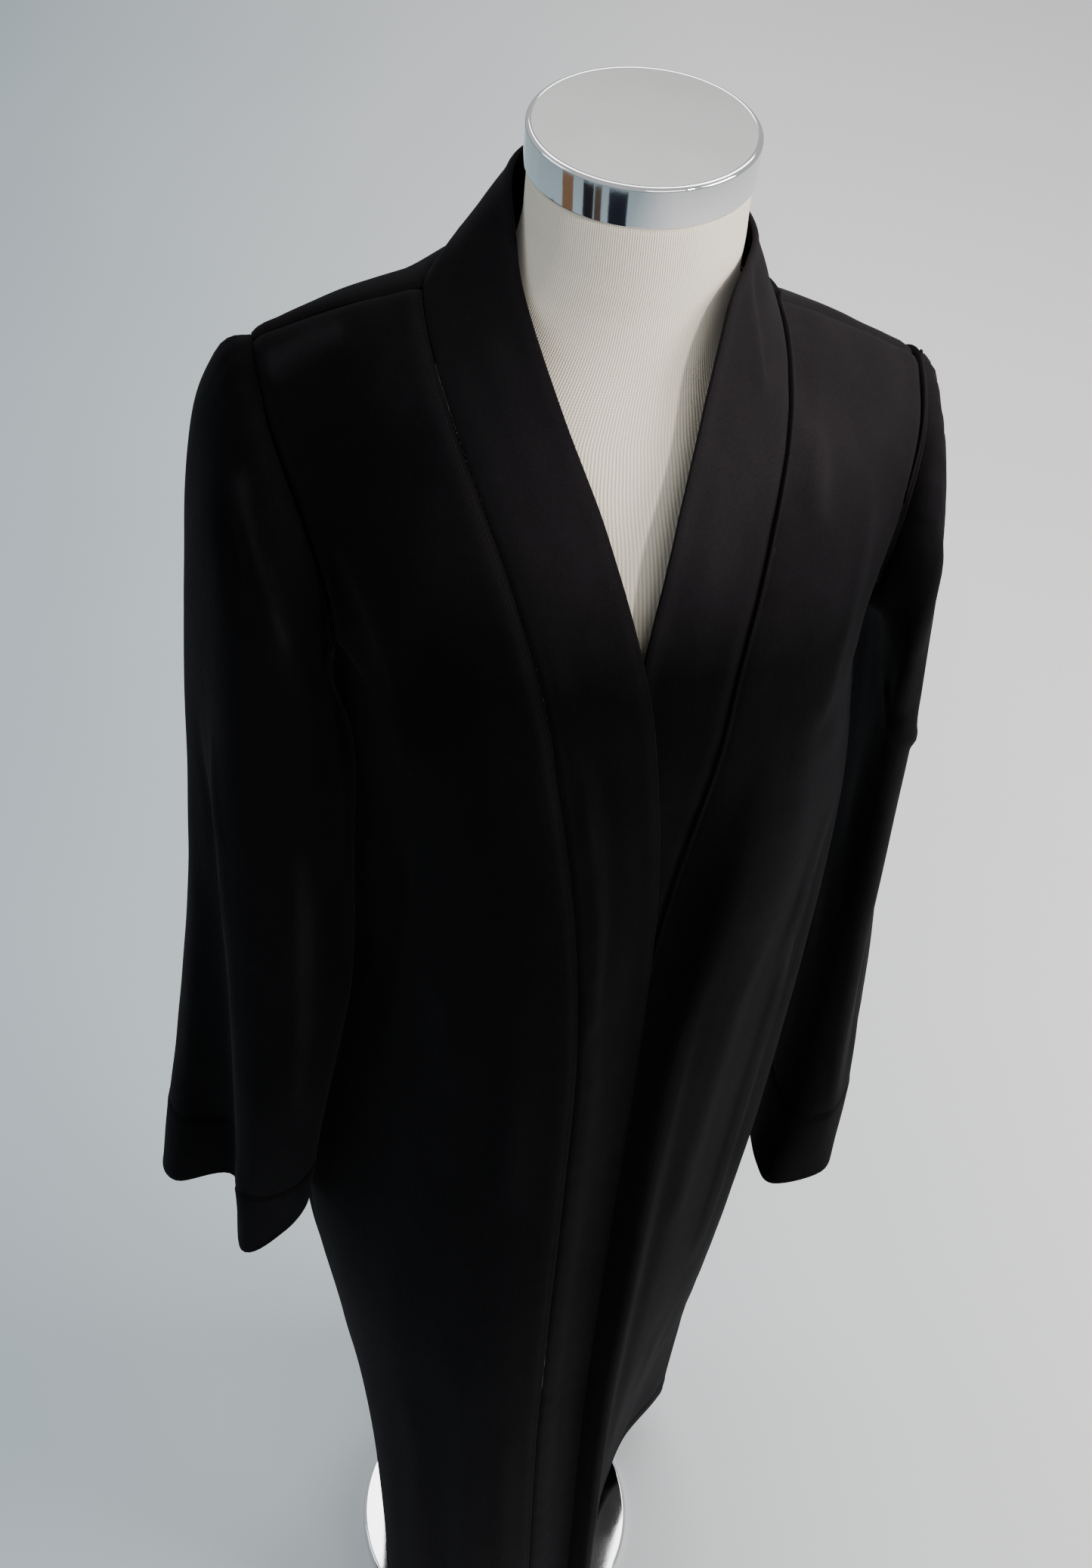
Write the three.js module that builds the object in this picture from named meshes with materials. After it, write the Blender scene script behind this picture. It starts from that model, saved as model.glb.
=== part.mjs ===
// A long open-front abaya coat in velvet, hanging on a limbless dress form.
// Millimetres, +Z up, the wearer's front faces -Y, the wearer's right is -X.
// The post of the dress form stands on X = 0, Y = 0 before the whole is
// centred, and the foot stands on Z = 0.
import * as THREE from 'three';

// ---- driving dimensions ----
const CLOTH = 1.8;            // wall of the velvet
const SEAM = 0.35;            // half of the gap left between two sewn pieces
const BAND_LAP = 4;           // how far the right band stands off the left one
const BASE_RADIUS = 136.5;    // round foot
const BASE_HEIGHT = 8;
const BASE_BEVEL = 2.5;
const POLE_RADIUS = 13;
const CAP_RADIUS = 55;        // metal neck cap
const CAP_HEIGHT = 20.5;
const CAP_ROUND = 2.2;
const TOP = 1580;             // top of the cap above the floor
const FORM_BOTTOM = 672;      // underside of the dress form
const CENTRE_SHIFT = [12.53, -11.43];  // set so that the whole is centred on X and Y

// ---- the coat as rows of points, from the shoulder line down to the hem ----
// right front, columns: band seam, two points on the panel, armhole then side seam
const FRONT_R = [
  [[-101, 6, 1496], [-128, 8, 1488], [-158, 10, 1478], [-184, 12, 1466]],
  [[-101, -35, 1484], [-130, -32, 1474], [-158, -28, 1460], [-180, -25, 1444]],
  [[-92, -82, 1460], [-122, -75, 1440], [-148, -64, 1418], [-166, -55, 1402]],
  [[-71, -110, 1400], [-108, -104, 1385], [-138, -86, 1370], [-156, -62, 1358]],
  [[-56, -132, 1345], [-96, -124, 1338], [-130, -98, 1330], [-152, -45, 1315]],
  [[-46, -143, 1290], [-88, -136, 1290], [-127, -102, 1290], [-152, 5, 1290]],
  [[-30, -150, 1180], [-72, -143, 1180], [-118, -105, 1180], [-147, 5, 1180]],
  [[-19, -151, 1050], [-62, -142, 1050], [-113, -105, 1050], [-144, 2, 1050]],
  [[-16, -151, 900], [-60, -140, 900], [-119, -100, 900], [-156, 0, 900]],
  [[-14, -150, 700], [-61, -140, 700], [-128, -95, 700], [-176, 0, 700]],
  [[-11, -150, 500], [-61, -140, 500], [-125, -90, 500], [-154, 0, 500]],
  [[-4, -149, 300], [-56, -142, 300], [-122, -90, 300], [-128, 0, 300]],
  [[5, -148, 80], [-50, -145, 80], [-117, -95, 80], [-111, 0, 80]],
];
// back, columns: right armhole and side seam, across to the left ones
const BACK = [
  [[-184, 12, 1466], [-144, 10, 1483], [-101, 6, 1496], [-72, 48, 1497], [-9, 70, 1488], [56, 46, 1482], [79, 5, 1481], [126, 10, 1457], [165, 12, 1435]],
  [[-182, 45, 1440], [-146, 52, 1458], [-105, 56, 1470], [-65, 76, 1470], [-9, 86, 1465], [48, 76, 1458], [84, 56, 1453], [127, 52, 1434], [163, 45, 1410]],
  [[-172, 72, 1398], [-143, 82, 1405], [-104, 94, 1410], [-58, 102, 1412], [-9, 105, 1412], [42, 102, 1406], [86, 94, 1400], [124, 82, 1390], [156, 72, 1375]],
  [[-162, 66, 1340], [-138, 84, 1345], [-100, 100, 1350], [-55, 108, 1352], [-9, 110, 1352], [38, 108, 1350], [82, 100, 1346], [120, 84, 1340], [147, 66, 1335]],
  [[-155, 42, 1308], [-138, 76, 1312], [-96, 99, 1316], [-53, 108, 1318], [-9, 110, 1318], [35, 108, 1318], [78, 99, 1314], [118, 76, 1310], [146, 42, 1306]],
  [[-152, 5, 1290], [-139, 63, 1290], [-93, 97, 1290], [-51, 107, 1290], [-9, 109, 1290], [33, 107, 1290], [75, 97, 1290], [122, 63, 1290], [150, 5, 1290]],
  [[-147, 5, 1180], [-132, 62, 1180], [-90, 90, 1180], [-49, 101, 1180], [-9, 104, 1180], [32, 101, 1180], [74, 90, 1180], [128, 62, 1180], [160, 0, 1180]],
  [[-144, 2, 1050], [-130, 60, 1050], [-88, 88, 1050], [-47, 98, 1050], [-6, 101, 1050], [34, 98, 1050], [74, 88, 1050], [130, 60, 1050], [163, 0, 1050]],
  [[-156, 0, 900], [-146, 66, 900], [-98, 102, 900], [-51, 115, 900], [-3, 120, 900], [43, 115, 900], [85, 102, 900], [136, 66, 900], [166, 0, 900]],
  [[-176, 0, 700], [-161, 76, 700], [-108, 118, 700], [-55, 134, 700], [0, 142, 700], [50, 135, 700], [96, 120, 700], [146, 78, 700], [170, 5, 700]],
  [[-154, 0, 500], [-143, 76, 500], [-98, 124, 500], [-48, 142, 500], [5, 150, 500], [55, 146, 500], [104, 134, 500], [154, 92, 500], [174, 25, 500]],
  [[-128, 0, 300], [-123, 72, 300], [-86, 124, 300], [-36, 148, 300], [15, 158, 300], [66, 160, 300], [118, 152, 300], [168, 116, 300], [183, 58, 300]],
  [[-111, 0, 80], [-109, 72, 80], [-76, 126, 80], [-26, 152, 80], [28, 166, 80], [80, 174, 80], [132, 166, 80], [178, 134, 80], [188, 76, 80]],
];
// left front, columns: armhole and side seam, two points, the long ridge fold,
// the valley beside the lapped edge, band seam
const FRONT_L = [
  [[165, 12, 1435], [148, 11, 1445], [130, 10, 1455], [112, 8, 1464], [95, 6, 1473], [79, 5, 1481]],
  [[161, -24, 1416], [147, -27, 1430], [130, -30, 1442], [112, -32, 1452], [95, -33, 1461], [78, -33, 1470]],
  [[148, -53, 1384], [137, -60, 1398], [121, -66, 1411], [104, -71, 1424], [87, -74, 1437], [70, -75, 1449]],
  [[139, -62, 1348], [128, -80, 1358], [110, -94, 1368], [93, -102, 1377], [75, -106, 1386], [58, -107, 1394]],
  [[142, -42, 1312], [124, -88, 1320], [102, -111, 1327], [84, -121, 1333], [65, -125, 1338], [47, -126.5, 1341]],
  [[150, 5, 1290], [127, -84, 1290], [98, -120, 1290], [76, -132, 1290], [58, -135, 1290], [41, -135, 1290]],
  [[160, 0, 1180], [147, -66, 1180], [106, -120, 1180], [66, -141, 1180], [46, -133, 1180], [31, -128, 1180]],
  [[163, 0, 1050], [152, -62, 1050], [100, -116, 1050], [56, -138, 1050], [38, -124, 1050], [25, -122, 1050]],
  [[166, 0, 900], [150, -62, 900], [95, -112, 900], [51, -137, 900], [36, -122.5, 900], [26, -121, 900]],
  [[170, 5, 700], [145, -56, 700], [92, -105, 700], [49, -135, 700], [37, -121, 700], [27, -120, 700]],
  [[174, 25, 500], [140, -38, 500], [88, -92, 500], [49, -134, 500], [39, -120, 500], [30, -119, 500]],
  [[183, 58, 300], [135, -5, 300], [86, -72, 300], [55, -134, 300], [45, -119, 300], [36, -119, 300]],
  [[188, 76, 80], [131, 20, 80], [91, -50, 80], [64, -132, 80], [53, -118, 80], [44, -118, 80]],
];
// free edge of the right band beside each row of the right front
const EDGE_R = [
  [-59, -6, 1528], [-56.5, -28, 1507], [-46, -80, 1479], [-23, -99, 1419], [-5, -130.5, 1357],
  [7, -138, 1290], [20, -135, 1180], [27, -126, 1050], [29, -124, 900], [30, -123, 700],
  [33, -122, 500], [39, -122, 300], [47, -121, 80],
];
// free edge of the left band beside each row of the left front
const EDGE_L = [
  [57, -14, 1527], [36, -56, 1519], [19, -89, 1467], [6, -113, 1411], [-4, -126, 1350],
  [-10, -135, 1290], [-18, -141, 1180], [-15, -144, 1050], [-13, -144, 900], [-11, -143.5, 700],
  [-8, -143, 500], [-1, -142.5, 300], [8, -141.5, 80],
];
// free edge of the standing band behind the neck, centre back to shoulder
const NECK_R = [[-6, 60, 1541], [-31, 53.5, 1546], [-52, 33, 1549], [-59.5, 12, 1544]];
const NECK_L = [[-6, 60, 1541], [20, 57, 1539], [43, 41, 1533], [56, 16, 1530]];

// ---- sleeves as rings below the armhole ----
// columns: underarm, four up the front, top, four down the back
const SLEEVE_R = [
  [[-162, 5, 1274], [-157.5, -54, 1298], [-173, -72, 1348], [-182, -66, 1393], [-197, -30, 1431], [-202, 13, 1451], [-199, 50, 1427], [-190, 79, 1387], [-178, 75, 1333], [-170, 50, 1299]],
  [[-157, 5, 1229], [-146, -57, 1246], [-174, -88, 1294], [-199, -82, 1342], [-214, -38, 1378], [-219, 13, 1394], [-217, 52, 1372], [-208, 84, 1328], [-192, 88, 1274], [-174, 58, 1242]],
  [[-153.5, 3, 1140], [-142.5, -54, 1152], [-174, -94, 1182], [-212, -84, 1215], [-224, -44, 1240], [-231, 4, 1258], [-229, 50, 1240], [-212, 86, 1212], [-186, 90, 1178], [-159, 56, 1150]],
  [[-154.5, 2, 1010], [-146, -54, 1016], [-177, -91, 1031], [-216, -78, 1048], [-225, -32, 1064], [-240, -2, 1078], [-239, 42, 1064], [-221, 80, 1048], [-192, 84, 1029], [-162, 52, 1014]],
  [[-170, 3, 860], [-166, -48, 864], [-188, -79, 873], [-221, -73, 882], [-228, -20, 890], [-256, -1, 897], [-258, 36, 889], [-238, 70, 881], [-206, 74, 871], [-179, 46, 862]],
  [[-181, 6, 775], [-175, -38, 777], [-194, -62, 780], [-227, -65, 785], [-230, -5, 789], [-267, 3, 792], [-273, 32, 788], [-251, 62, 783], [-216, 67, 778], [-190, 44, 776]],
  [[-184, 10, 705], [-178, -19, 705], [-198, -45, 705], [-231, -57, 705], [-232, 7, 705], [-276, 9, 705], [-284, 32, 705], [-262, 57, 705], [-225, 62, 705], [-193, 42, 705]],
];
const SLEEVE_L = [
  [[164, 5, 1277], [157, -54, 1303], [155, -74, 1339], [162, -67, 1376], [174, -29, 1406], [178, 13, 1421], [177, 50, 1400], [170, 78, 1364], [162, 77, 1325], [162, 50, 1297]],
  [[173, 8, 1230], [169, -44, 1246], [166, -70, 1282], [173, -67, 1322], [183, -30, 1355], [188, 16, 1370], [188, 58, 1352], [183, 88, 1312], [175, 90, 1264], [172, 60, 1238]],
  [[179, 12, 1140], [175, -32, 1146], [181, -55, 1162], [192, -50, 1190], [201, -20, 1218], [207, 22, 1236], [208, 64, 1218], [202, 96, 1190], [191, 100, 1160], [181, 68, 1143]],
  [[181, 16, 1010], [180, -20, 1013], [187, -44, 1024], [203, -42, 1040], [214, -12, 1056], [221, 26, 1068], [223, 70, 1056], [215, 100, 1040], [200, 104, 1022], [184, 72, 1013]],
  [[186, 22, 860], [186, -12, 861], [193, -34, 867], [212, -36, 875], [229, -14, 884], [240, 22, 892], [242, 62, 884], [233, 92, 875], [212, 96, 866], [191, 68, 861]],
  [[187, 22, 760], [186, -12, 761], [194, -34, 764], [217, -37, 768], [238, -18, 771], [250, 16, 775], [253, 54, 771], [242, 86, 768], [216, 90, 764], [192, 64, 761]],
  [[184, 22, 672], [181, -17, 672], [189, -37, 672], [230, -32, 672], [246, -10, 672], [256, 16, 672], [259, 48, 672], [244, 80, 672], [216, 84, 672], [191, 62, 672]],
];

// ---- the dress form: height, centre x, half width, front, back ----
const FORM = [
  [1558.5, 0, 53, 53, 53], [1535, 0, 53.5, 53.5, 53.5], [1514, -2, 55, 55, 54], [1498, -4, 60, 59, 56],
  [1484, -7, 68, 65, 59], [1470, -11, 85, 73, 63], [1454, -14, 112, 82, 68], [1440, -14, 132, 88, 73], [1425, -13, 145, 93, 78],
  [1405, -11, 149, 99, 83], [1375, -10, 146, 109, 90], [1335, -9, 139, 118, 95], [1290, -9, 132, 125, 96],
  [1240, -8, 127, 127, 93], [1180, -6, 122, 120, 88], [1110, -4, 112, 106, 82], [1050, -3, 108, 96, 80],
  [980, -2, 122, 97, 86], [900, -1, 138, 102, 98], [820, 0, 146, 104, 110], [740, 0, 149, 102, 110], [700, 0, 147, 100, 106], [676, 0, 143, 96, 102], [672, 0, 139, 93, 98],
];

// ---------------------------------------------------------------------------
const ARM = 5;               // row of the underarm
const V = (a) => new THREE.Vector3(a[0], a[1], a[2]);
const lerp3 = (a, b, t) => [a[0] + (b[0] - a[0]) * t, a[1] + (b[1] - a[1]) * t, a[2] + (b[2] - a[2]) * t];
const past = (a, b) => [2 * a[0] - b[0], 2 * a[1] - b[1], 2 * a[2] - b[2]];
function spline(p0, p1, p2, p3, t) {
  const o = [0, 0, 0];
  for (let k = 0; k < 3; k++) {
    const m1 = (p2[k] - p0[k]) / 2, m2 = (p3[k] - p1[k]) / 2, d = p2[k] - p1[k];
    o[k] = p1[k] + m1 * t + (3 * d - 2 * m1 - m2) * t * t + (m1 + m2 - 2 * d) * t * t * t;
  }
  return o;
}
// a surface through a net of points that has one more ring of points all round
class Net {
  constructor(rows) { this.g = rows; this.nr = rows.length - 2; this.nc = rows[0].length - 2; }
  at(u, v) {
    u = Math.min(Math.max(u, 0), this.nr - 1); v = Math.min(Math.max(v, 0), this.nc - 1);
    const r = Math.min(Math.floor(u), this.nr - 2), c = Math.min(Math.floor(v), this.nc - 2);
    const line = [];
    for (let k = 0; k < 4; k++) {
      const q = this.g[r + k]; let a = q[c], d = q[c + 3];
      if (this.corner && r + k <= 1) { // the neck points are corners of the top edge
        if (this.corner.includes(c)) a = past(q[c + 1], q[c + 2]);
        if (this.corner.includes(c + 1)) d = past(q[c + 2], q[c + 1]);
      }
      line.push(spline(a, q[c + 1], q[c + 2], d, v - c));
    }
    // below the underarm the side seam runs on without the armhole's turn
    if (this.fork && r === ARM) for (const e of this.fork) { const k = Math.max(0, 1 - Math.abs(v - e)); if (k) line[0] = lerp3(line[0], past(line[1], line[2]), k); }
    return spline(line[0], line[1], line[2], line[3], u - r);
  }
  step(u, v, du, dv) {
    const h = 1e-3, lo = (t) => Math.max(t - h, 0), hi = (t, n) => Math.min(t + h, n - 1);
    const u0 = du ? (this.fork && Math.abs(u - ARM) < h ? u : lo(u)) : u, u1 = du ? hi(u, this.nr) : u;
    const v0 = dv ? lo(v) : v, v1 = dv ? hi(v, this.nc) : v;
    return V(this.at(u1, v1)).sub(V(this.at(u0, v0))).divideScalar(du ? u1 - u0 : v1 - v0);
  }
}
// adds the outer ring: sides from the neighbours where they are sewn, else straight on
function net(rows, left, right, above) {
  const g = rows.map((r, i) => [left ? left[i] : past(r[0], r[1]), ...r, right ? right[i] : past(r[r.length - 1], r[r.length - 2])]);
  const n = g[0].length;
  const top = above ? [past(above[0], above[1]), ...above, past(above[above.length - 1], above[above.length - 2])] : g[0].map((p, i) => past(p, g[1][i]));
  return new Net([top, ...g, g[0].map((_, i) => past(g[g.length - 1][i], g[g.length - 2][i]))]);
}
// the point of a row at a given x
function atX(row, x) {
  for (let i = 0; i + 1 < row.length; i++) {
    const a = row[i], b = row[i + 1];
    if ((a[0] - x) * (b[0] - x) <= 0) return lerp3(a, b, (x - a[0]) / (b[0] - a[0] || 1));
  }
  return Math.abs(row[0][0] - x) < Math.abs(row[row.length - 1][0] - x) ? row[0] : row[row.length - 1];
}
const col = (rows, c) => rows.map((r) => r[c < 0 ? r.length + c : c]);
// neighbours beyond the side seams count only below the underarm
const below = (rows, own, other) => rows.map((r, i) => (i >= ARM ? other[i] : past(own[i], r)));

const mid = (a, b, k) => { const m = lerp3(a, b, 0.5), l = Math.hypot(m[0], m[1]) || 1; return [m[0] + m[0] / l * k, m[1] + m[1] / l * k, m[2]]; };
const bulge = [2, 2, 1.5, 0.8, 0.5, 1, 2, 2, 1, 0, 0, 0, 0, 0, 0, 0, 0];

// the top edge of the back gives the shoulder seams and the neck seam
const backTop = new Net([BACK[0], BACK[0], BACK[0], BACK[0]].map((r) => [past(r[0], r[1]), ...r, past(r[8], r[7])]));
backTop.corner = [2, 6]; backTop.at0 = backTop.at; backTop.at = (u, v) => backTop.at0(0, v);
FRONT_R[0] = [2, 4 / 3, 2 / 3, 0].map((c) => backTop.at(0, c));
FRONT_L[0] = [8, 7.6, 7.2, 6.8, 6.4, 6].map((c) => backTop.at(0, c));
const neckSeam = (c) => { const p = backTop.at(0, c); return [p[0], p[1], p[2] + 1.5]; };

function bandNet(front, seamCol, inner, edge, neck, cols) {
  const rows = [];
  neck.forEach((e, i) => { const s = neckSeam(cols[i]); rows.push([s, mid(s, e, bulge[i]), e]); });
  front.forEach((r, i) => { const s = seamCol(r); rows.push([s, mid(s, edge[i], bulge[4 + i]), edge[i]]); });
  const side = [...neck.map((e, i) => past(rows[i][0], rows[i][1])), ...front.map((r) => inner(r))];
  return net(rows, side, null, null);
}
const bandR = bandNet(FRONT_R, (r) => r[0], (r) => r[1], EDGE_R, NECK_R, [4, 3.5, 3, 2.5]);
const bandL = bandNet(FRONT_L, (r) => r[5], (r) => r[4], EDGE_L, NECK_L, [4, 4.5, 5, 5.5]);

const ghostTop = (row0, other1) => row0.map((p) => { const q = atX(other1, p[0]); return [p[0], q[1], q[2]]; });
const topR = ghostTop(FRONT_R[0], BACK[1]); topR[0] = backTop.at(0, 2.5);
const topL = ghostTop(FRONT_L[0], BACK[1]); topL[5] = backTop.at(0, 5.5);
const frontR = net(FRONT_R, FRONT_R.map((r, i) => mid(r[0], EDGE_R[i], bulge[4 + i])), below(col(FRONT_R, 2), col(FRONT_R, 3), col(BACK, 1)), topR);
const frontL = net(FRONT_L, below(col(FRONT_L, 1), col(FRONT_L, 0), col(BACK, 7)), FRONT_L.map((r, i) => mid(r[5], EDGE_L[i], bulge[4 + i])), topL);
frontR.fork = [3]; frontL.fork = [0];
const backAbove = BACK[0].map((p, i) => {
  if (i >= 3 && i <= 5) return past(p, BACK[1][i]);
  const q = atX(i < 4 ? FRONT_R[1] : FRONT_L[1], p[0]);
  return [p[0], q[1], q[2]];
});
const back = net(BACK, below(col(BACK, 1), col(BACK, 0), col(FRONT_R, 2)), below(col(BACK, 7), col(BACK, 8), col(FRONT_L, 1)), backAbove);
back.fork = [0, 8]; back.corner = [2, 6];

// sleeves: a closed net whose first ring follows the armhole edges of the body
function sleeveNet(rings, frontNet, frontCol, backNet, backCol) {
  const edge = (c) => (c <= ARM ? frontNet.at(ARM - c, frontCol) : backNet.at(c - ARM, backCol));
  const ring0 = []; for (let c = 0; c < 10; c++) ring0.push(edge(c));
  const all = [ring0, ...rings];
  const g = all.map((r) => [r[9], ...r, r[0], r[1]]);
  g.unshift(g[0].map((p, i) => past(p, g[1][i]))); g.push(g[0].map((_, i) => past(g[g.length - 1][i], g[g.length - 2][i])));
  const n = new Net(g), plain = n.at.bind(n);
  n.at = (u, v) => {
    const w = ((v % 10) + 10) % 10, p = plain(u, w);
    if (u < 1) {
      const e = edge(w), q = plain(0, w), k = (1 - Math.max(u, 0)) ** 2;
      for (let i = 0; i < 3; i++) p[i] += (e[i] - q[i]) * k;
    }
    return p;
  };
  n.step = (u, v, du, dv) => {
    const h = 1e-3, lo = du ? Math.max(u - h, 0) : u, hi = du ? Math.min(u + h, n.nr - 1) : u;
    return V(n.at(hi, v + h * dv)).sub(V(n.at(lo, v - h * dv))).divideScalar(du ? hi - lo : 2 * h);
  };
  return n;
}
const sleeveR = sleeveNet(SLEEVE_R, frontR, 3, back, 0);
const sleeveL = sleeveNet(SLEEVE_L, frontL, 0, back, 8);

function solid(points, faces) {
  const g = new THREE.BufferGeometry();
  g.setAttribute('position', new THREE.BufferAttribute(new Float32Array(points.flatMap((p) => [p.x, p.y, p.z])), 3));
  g.setIndex(faces);
  g.computeVertexNormals();
  return g;
}
// steps along a row or column, k to each interval of the net
function steps(n, k) { const o = []; for (let i = 0; i < n - 1; i++) { const q = Array.isArray(k) ? k[i] : k; for (let j = 0; j < q; j++) o.push(i + j / q); } o.push(n - 1); return o; }

// a wall of cloth on a net: outer face on the net, inner face one thickness in
function wall(n, us, vs, flip, trim, thick = CLOTH) {
  const nu = us.length, nv = vs.length, out = [], inn = [];
  us.forEach((u0, i) => vs.forEach((v0, j) => {
    let u = u0, v = v0;
    if (i === 0 && trim.top) u += trim.top / n.step(u0, v0, 1, 0).length();
    if (i === nu - 1 && trim.bottom) u -= trim.bottom / n.step(u0, v0, 1, 0).length();
    if (j === 0 && trim.start) v += trim.start / n.step(u0, v0, 0, 1).length();
    if (j === nv - 1 && trim.end) v -= trim.end / n.step(u0, v0, 0, 1).length();
    const p = V(n.at(u, v)), a = n.step(u, v, 1, 0), b = n.step(u, v, 0, 1);
    const m = new THREE.Vector3().crossVectors(a, b).normalize().multiplyScalar(flip ? -1 : 1);
    out.push(p); inn.push(p.clone().addScaledVector(m, -thick));
  }));
  const N = nu * nv, f = [];
  const quad = (a, b, c, d) => { if (flip) f.push(a, c, b, a, d, c); else f.push(a, b, c, a, c, d); };
  const id = (i, j) => i * nv + j;
  for (let i = 0; i < nu - 1; i++) for (let j = 0; j < nv - 1; j++) {
    quad(id(i, j), id(i + 1, j), id(i + 1, j + 1), id(i, j + 1));
    quad(N + id(i, j), N + id(i, j + 1), N + id(i + 1, j + 1), N + id(i + 1, j));
  }
  for (let i = 0; i < nu - 1; i++) {
    quad(id(i, 0), N + id(i, 0), N + id(i + 1, 0), id(i + 1, 0));
    quad(id(i, nv - 1), id(i + 1, nv - 1), N + id(i + 1, nv - 1), N + id(i, nv - 1));
  }
  for (let j = 0; j < nv - 1; j++) {
    quad(id(0, j), id(0, j + 1), N + id(0, j + 1), N + id(0, j));
    quad(id(nu - 1, j), N + id(nu - 1, j), N + id(nu - 1, j + 1), id(nu - 1, j + 1));
  }
  return solid([...out, ...inn], f);
}
// a tube of cloth, open at both ends
function tube(n, us, vs, flip, trim, thick = CLOTH) {
  const nu = us.length, nv = vs.length, out = [], inn = [];
  us.forEach((u0, i) => vs.forEach((v) => {
    let u = u0; if (i === 0) u += trim / n.step(u0, v, 1, 0).length();
    const p = V(n.at(u, v)), a = n.step(Math.max(u, 0.02), v, 1, 0), b = n.step(Math.max(u, 0.02), v, 0, 1);
    const m = new THREE.Vector3().crossVectors(a, b).normalize().multiplyScalar(flip ? -1 : 1);
    out.push(p); inn.push(p.clone().addScaledVector(m, -thick));
  }));
  const N = nu * nv, f = [];
  const quad = (a, b, c, d) => { if (flip) f.push(a, c, b, a, d, c); else f.push(a, b, c, a, c, d); };
  const id = (i, j) => i * nv + (j % nv);
  for (let i = 0; i < nu - 1; i++) for (let j = 0; j < nv; j++) {
    quad(id(i, j), id(i + 1, j), id(i + 1, j + 1), id(i, j + 1));
    quad(N + id(i, j), N + id(i, j + 1), N + id(i + 1, j + 1), N + id(i + 1, j));
  }
  for (let j = 0; j < nv; j++) {
    quad(id(0, j), id(0, j + 1), N + id(0, j + 1), N + id(0, j));
    quad(id(nu - 1, j), N + id(nu - 1, j), N + id(nu - 1, j + 1), id(nu - 1, j + 1));
  }
  return solid([...out, ...inn], f);
}
// a closed smooth body through level rings
function formBody(seg) {
  const pts = [], f = [], lv = [];
  const g = FORM; const at = (i) => g[Math.min(Math.max(i, 0), g.length - 1)];
  for (let i = 0; i < g.length; i++) lv.push(at(i));
  lv.forEach(([z, cx, a, bf, bb]) => {
    const round = z > 1500 ? 2 : z > 1470 ? 2.1 : 2.25;
    for (let j = 0; j < seg; j++) {
      const t = (j / seg) * Math.PI * 2, s = Math.sin(t), c = Math.cos(t), b = c > 0 ? bf : bb;
      const r = 1 / (Math.abs(s / a) ** round + Math.abs(c / b) ** round) ** (1 / round);
      pts.push(new THREE.Vector3(cx + r * s, -r * c, z));
    }
  });
  const top = pts.length; pts.push(new THREE.Vector3(lv[0][1], 0, lv[0][0]));
  const bot = pts.length; pts.push(new THREE.Vector3(0, 0, lv[lv.length - 1][0]));
  const id = (i, j) => i * seg + (j % seg);
  for (let i = 0; i < lv.length - 1; i++) for (let j = 0; j < seg; j++) { f.push(id(i, j), id(i + 1, j), id(i + 1, j + 1), id(i, j), id(i + 1, j + 1), id(i, j + 1)); }
  for (let j = 0; j < seg; j++) { f.push(top, id(0, j), id(0, j + 1)); f.push(bot, id(lv.length - 1, j + 1), id(lv.length - 1, j)); }
  return solid(pts, f);
}
function turned(profile, seg) {
  const g = new THREE.LatheGeometry(profile.map(([r, z]) => new THREE.Vector2(r, z)), seg);
  g.rotateX(Math.PI / 2);
  return g;
}

const velvet = () => new THREE.MeshStandardMaterial({ color: 0x0d0d0f, roughness: 0.95, metalness: 0 });
const jersey = () => new THREE.MeshStandardMaterial({ color: 0xe6dcc8, roughness: 0.9, metalness: 0 });
const chrome = () => new THREE.MeshStandardMaterial({ color: 0xd9dadc, roughness: 0.12, metalness: 1 });

const group = new THREE.Group();
function add(name, geometry, material) {
  const m = new THREE.Mesh(geometry, material); m.name = name;
  m.position.set(CENTRE_SHIFT[0], CENTRE_SHIFT[1], 0); group.add(m);
}

const bodyRows = steps(13, [2, 2, 2, 2, 2, 2, 2, 2, 2, 2, 2, 2]);
const bandRows = steps(17, [2, 2, 2, 2, 2, 2, 2, 2, 2, 2, 2, 2, 2, 2, 2, 2]);
const seams = { top: SEAM, start: SEAM, end: SEAM };
add('right_front', wall(frontR, bodyRows, steps(4, 3), true, seams), velvet());
add('left_front', wall(frontL, bodyRows, steps(6, 2), true, seams), velvet());
add('back', wall(back, bodyRows, steps(9, 2), true, seams), velvet());
add('band_right', wall(bandR, bandRows, steps(3, 2), false, { top: 0.6, start: SEAM }), velvet());
add('band_left', wall(bandL, bandRows, steps(3, 2), true, { top: 0.6, start: SEAM }), velvet());
const around = []; for (let j = 0; j < 20; j++) around.push(j / 2);
add('sleeve_right', tube(sleeveR, steps(8, 2), around, true, 0.8), velvet());
add('sleeve_left', tube(sleeveL, steps(8, 2), around, false, 0.8), velvet());

add('form_body', formBody(40), jersey());
add('form_neck_cap', turned([[0, TOP - CAP_HEIGHT], [CAP_RADIUS, TOP - CAP_HEIGHT], [CAP_RADIUS, TOP - CAP_ROUND], [CAP_RADIUS - CAP_ROUND * 0.3, TOP - CAP_ROUND * 0.3], [CAP_RADIUS - CAP_ROUND, TOP], [0, TOP]], 48), chrome());
add('form_pole', turned([[0, BASE_HEIGHT + 0.3], [POLE_RADIUS, BASE_HEIGHT + 0.3], [POLE_RADIUS, FORM_BOTTOM - 0.3], [0, FORM_BOTTOM - 0.3]], 24), chrome());
add('form_base', turned([[0, 0], [BASE_RADIUS, 0], [BASE_RADIUS, BASE_HEIGHT - BASE_BEVEL], [BASE_RADIUS - BASE_BEVEL, BASE_HEIGHT], [0, BASE_HEIGHT]], 64), chrome());

export default group;
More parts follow.
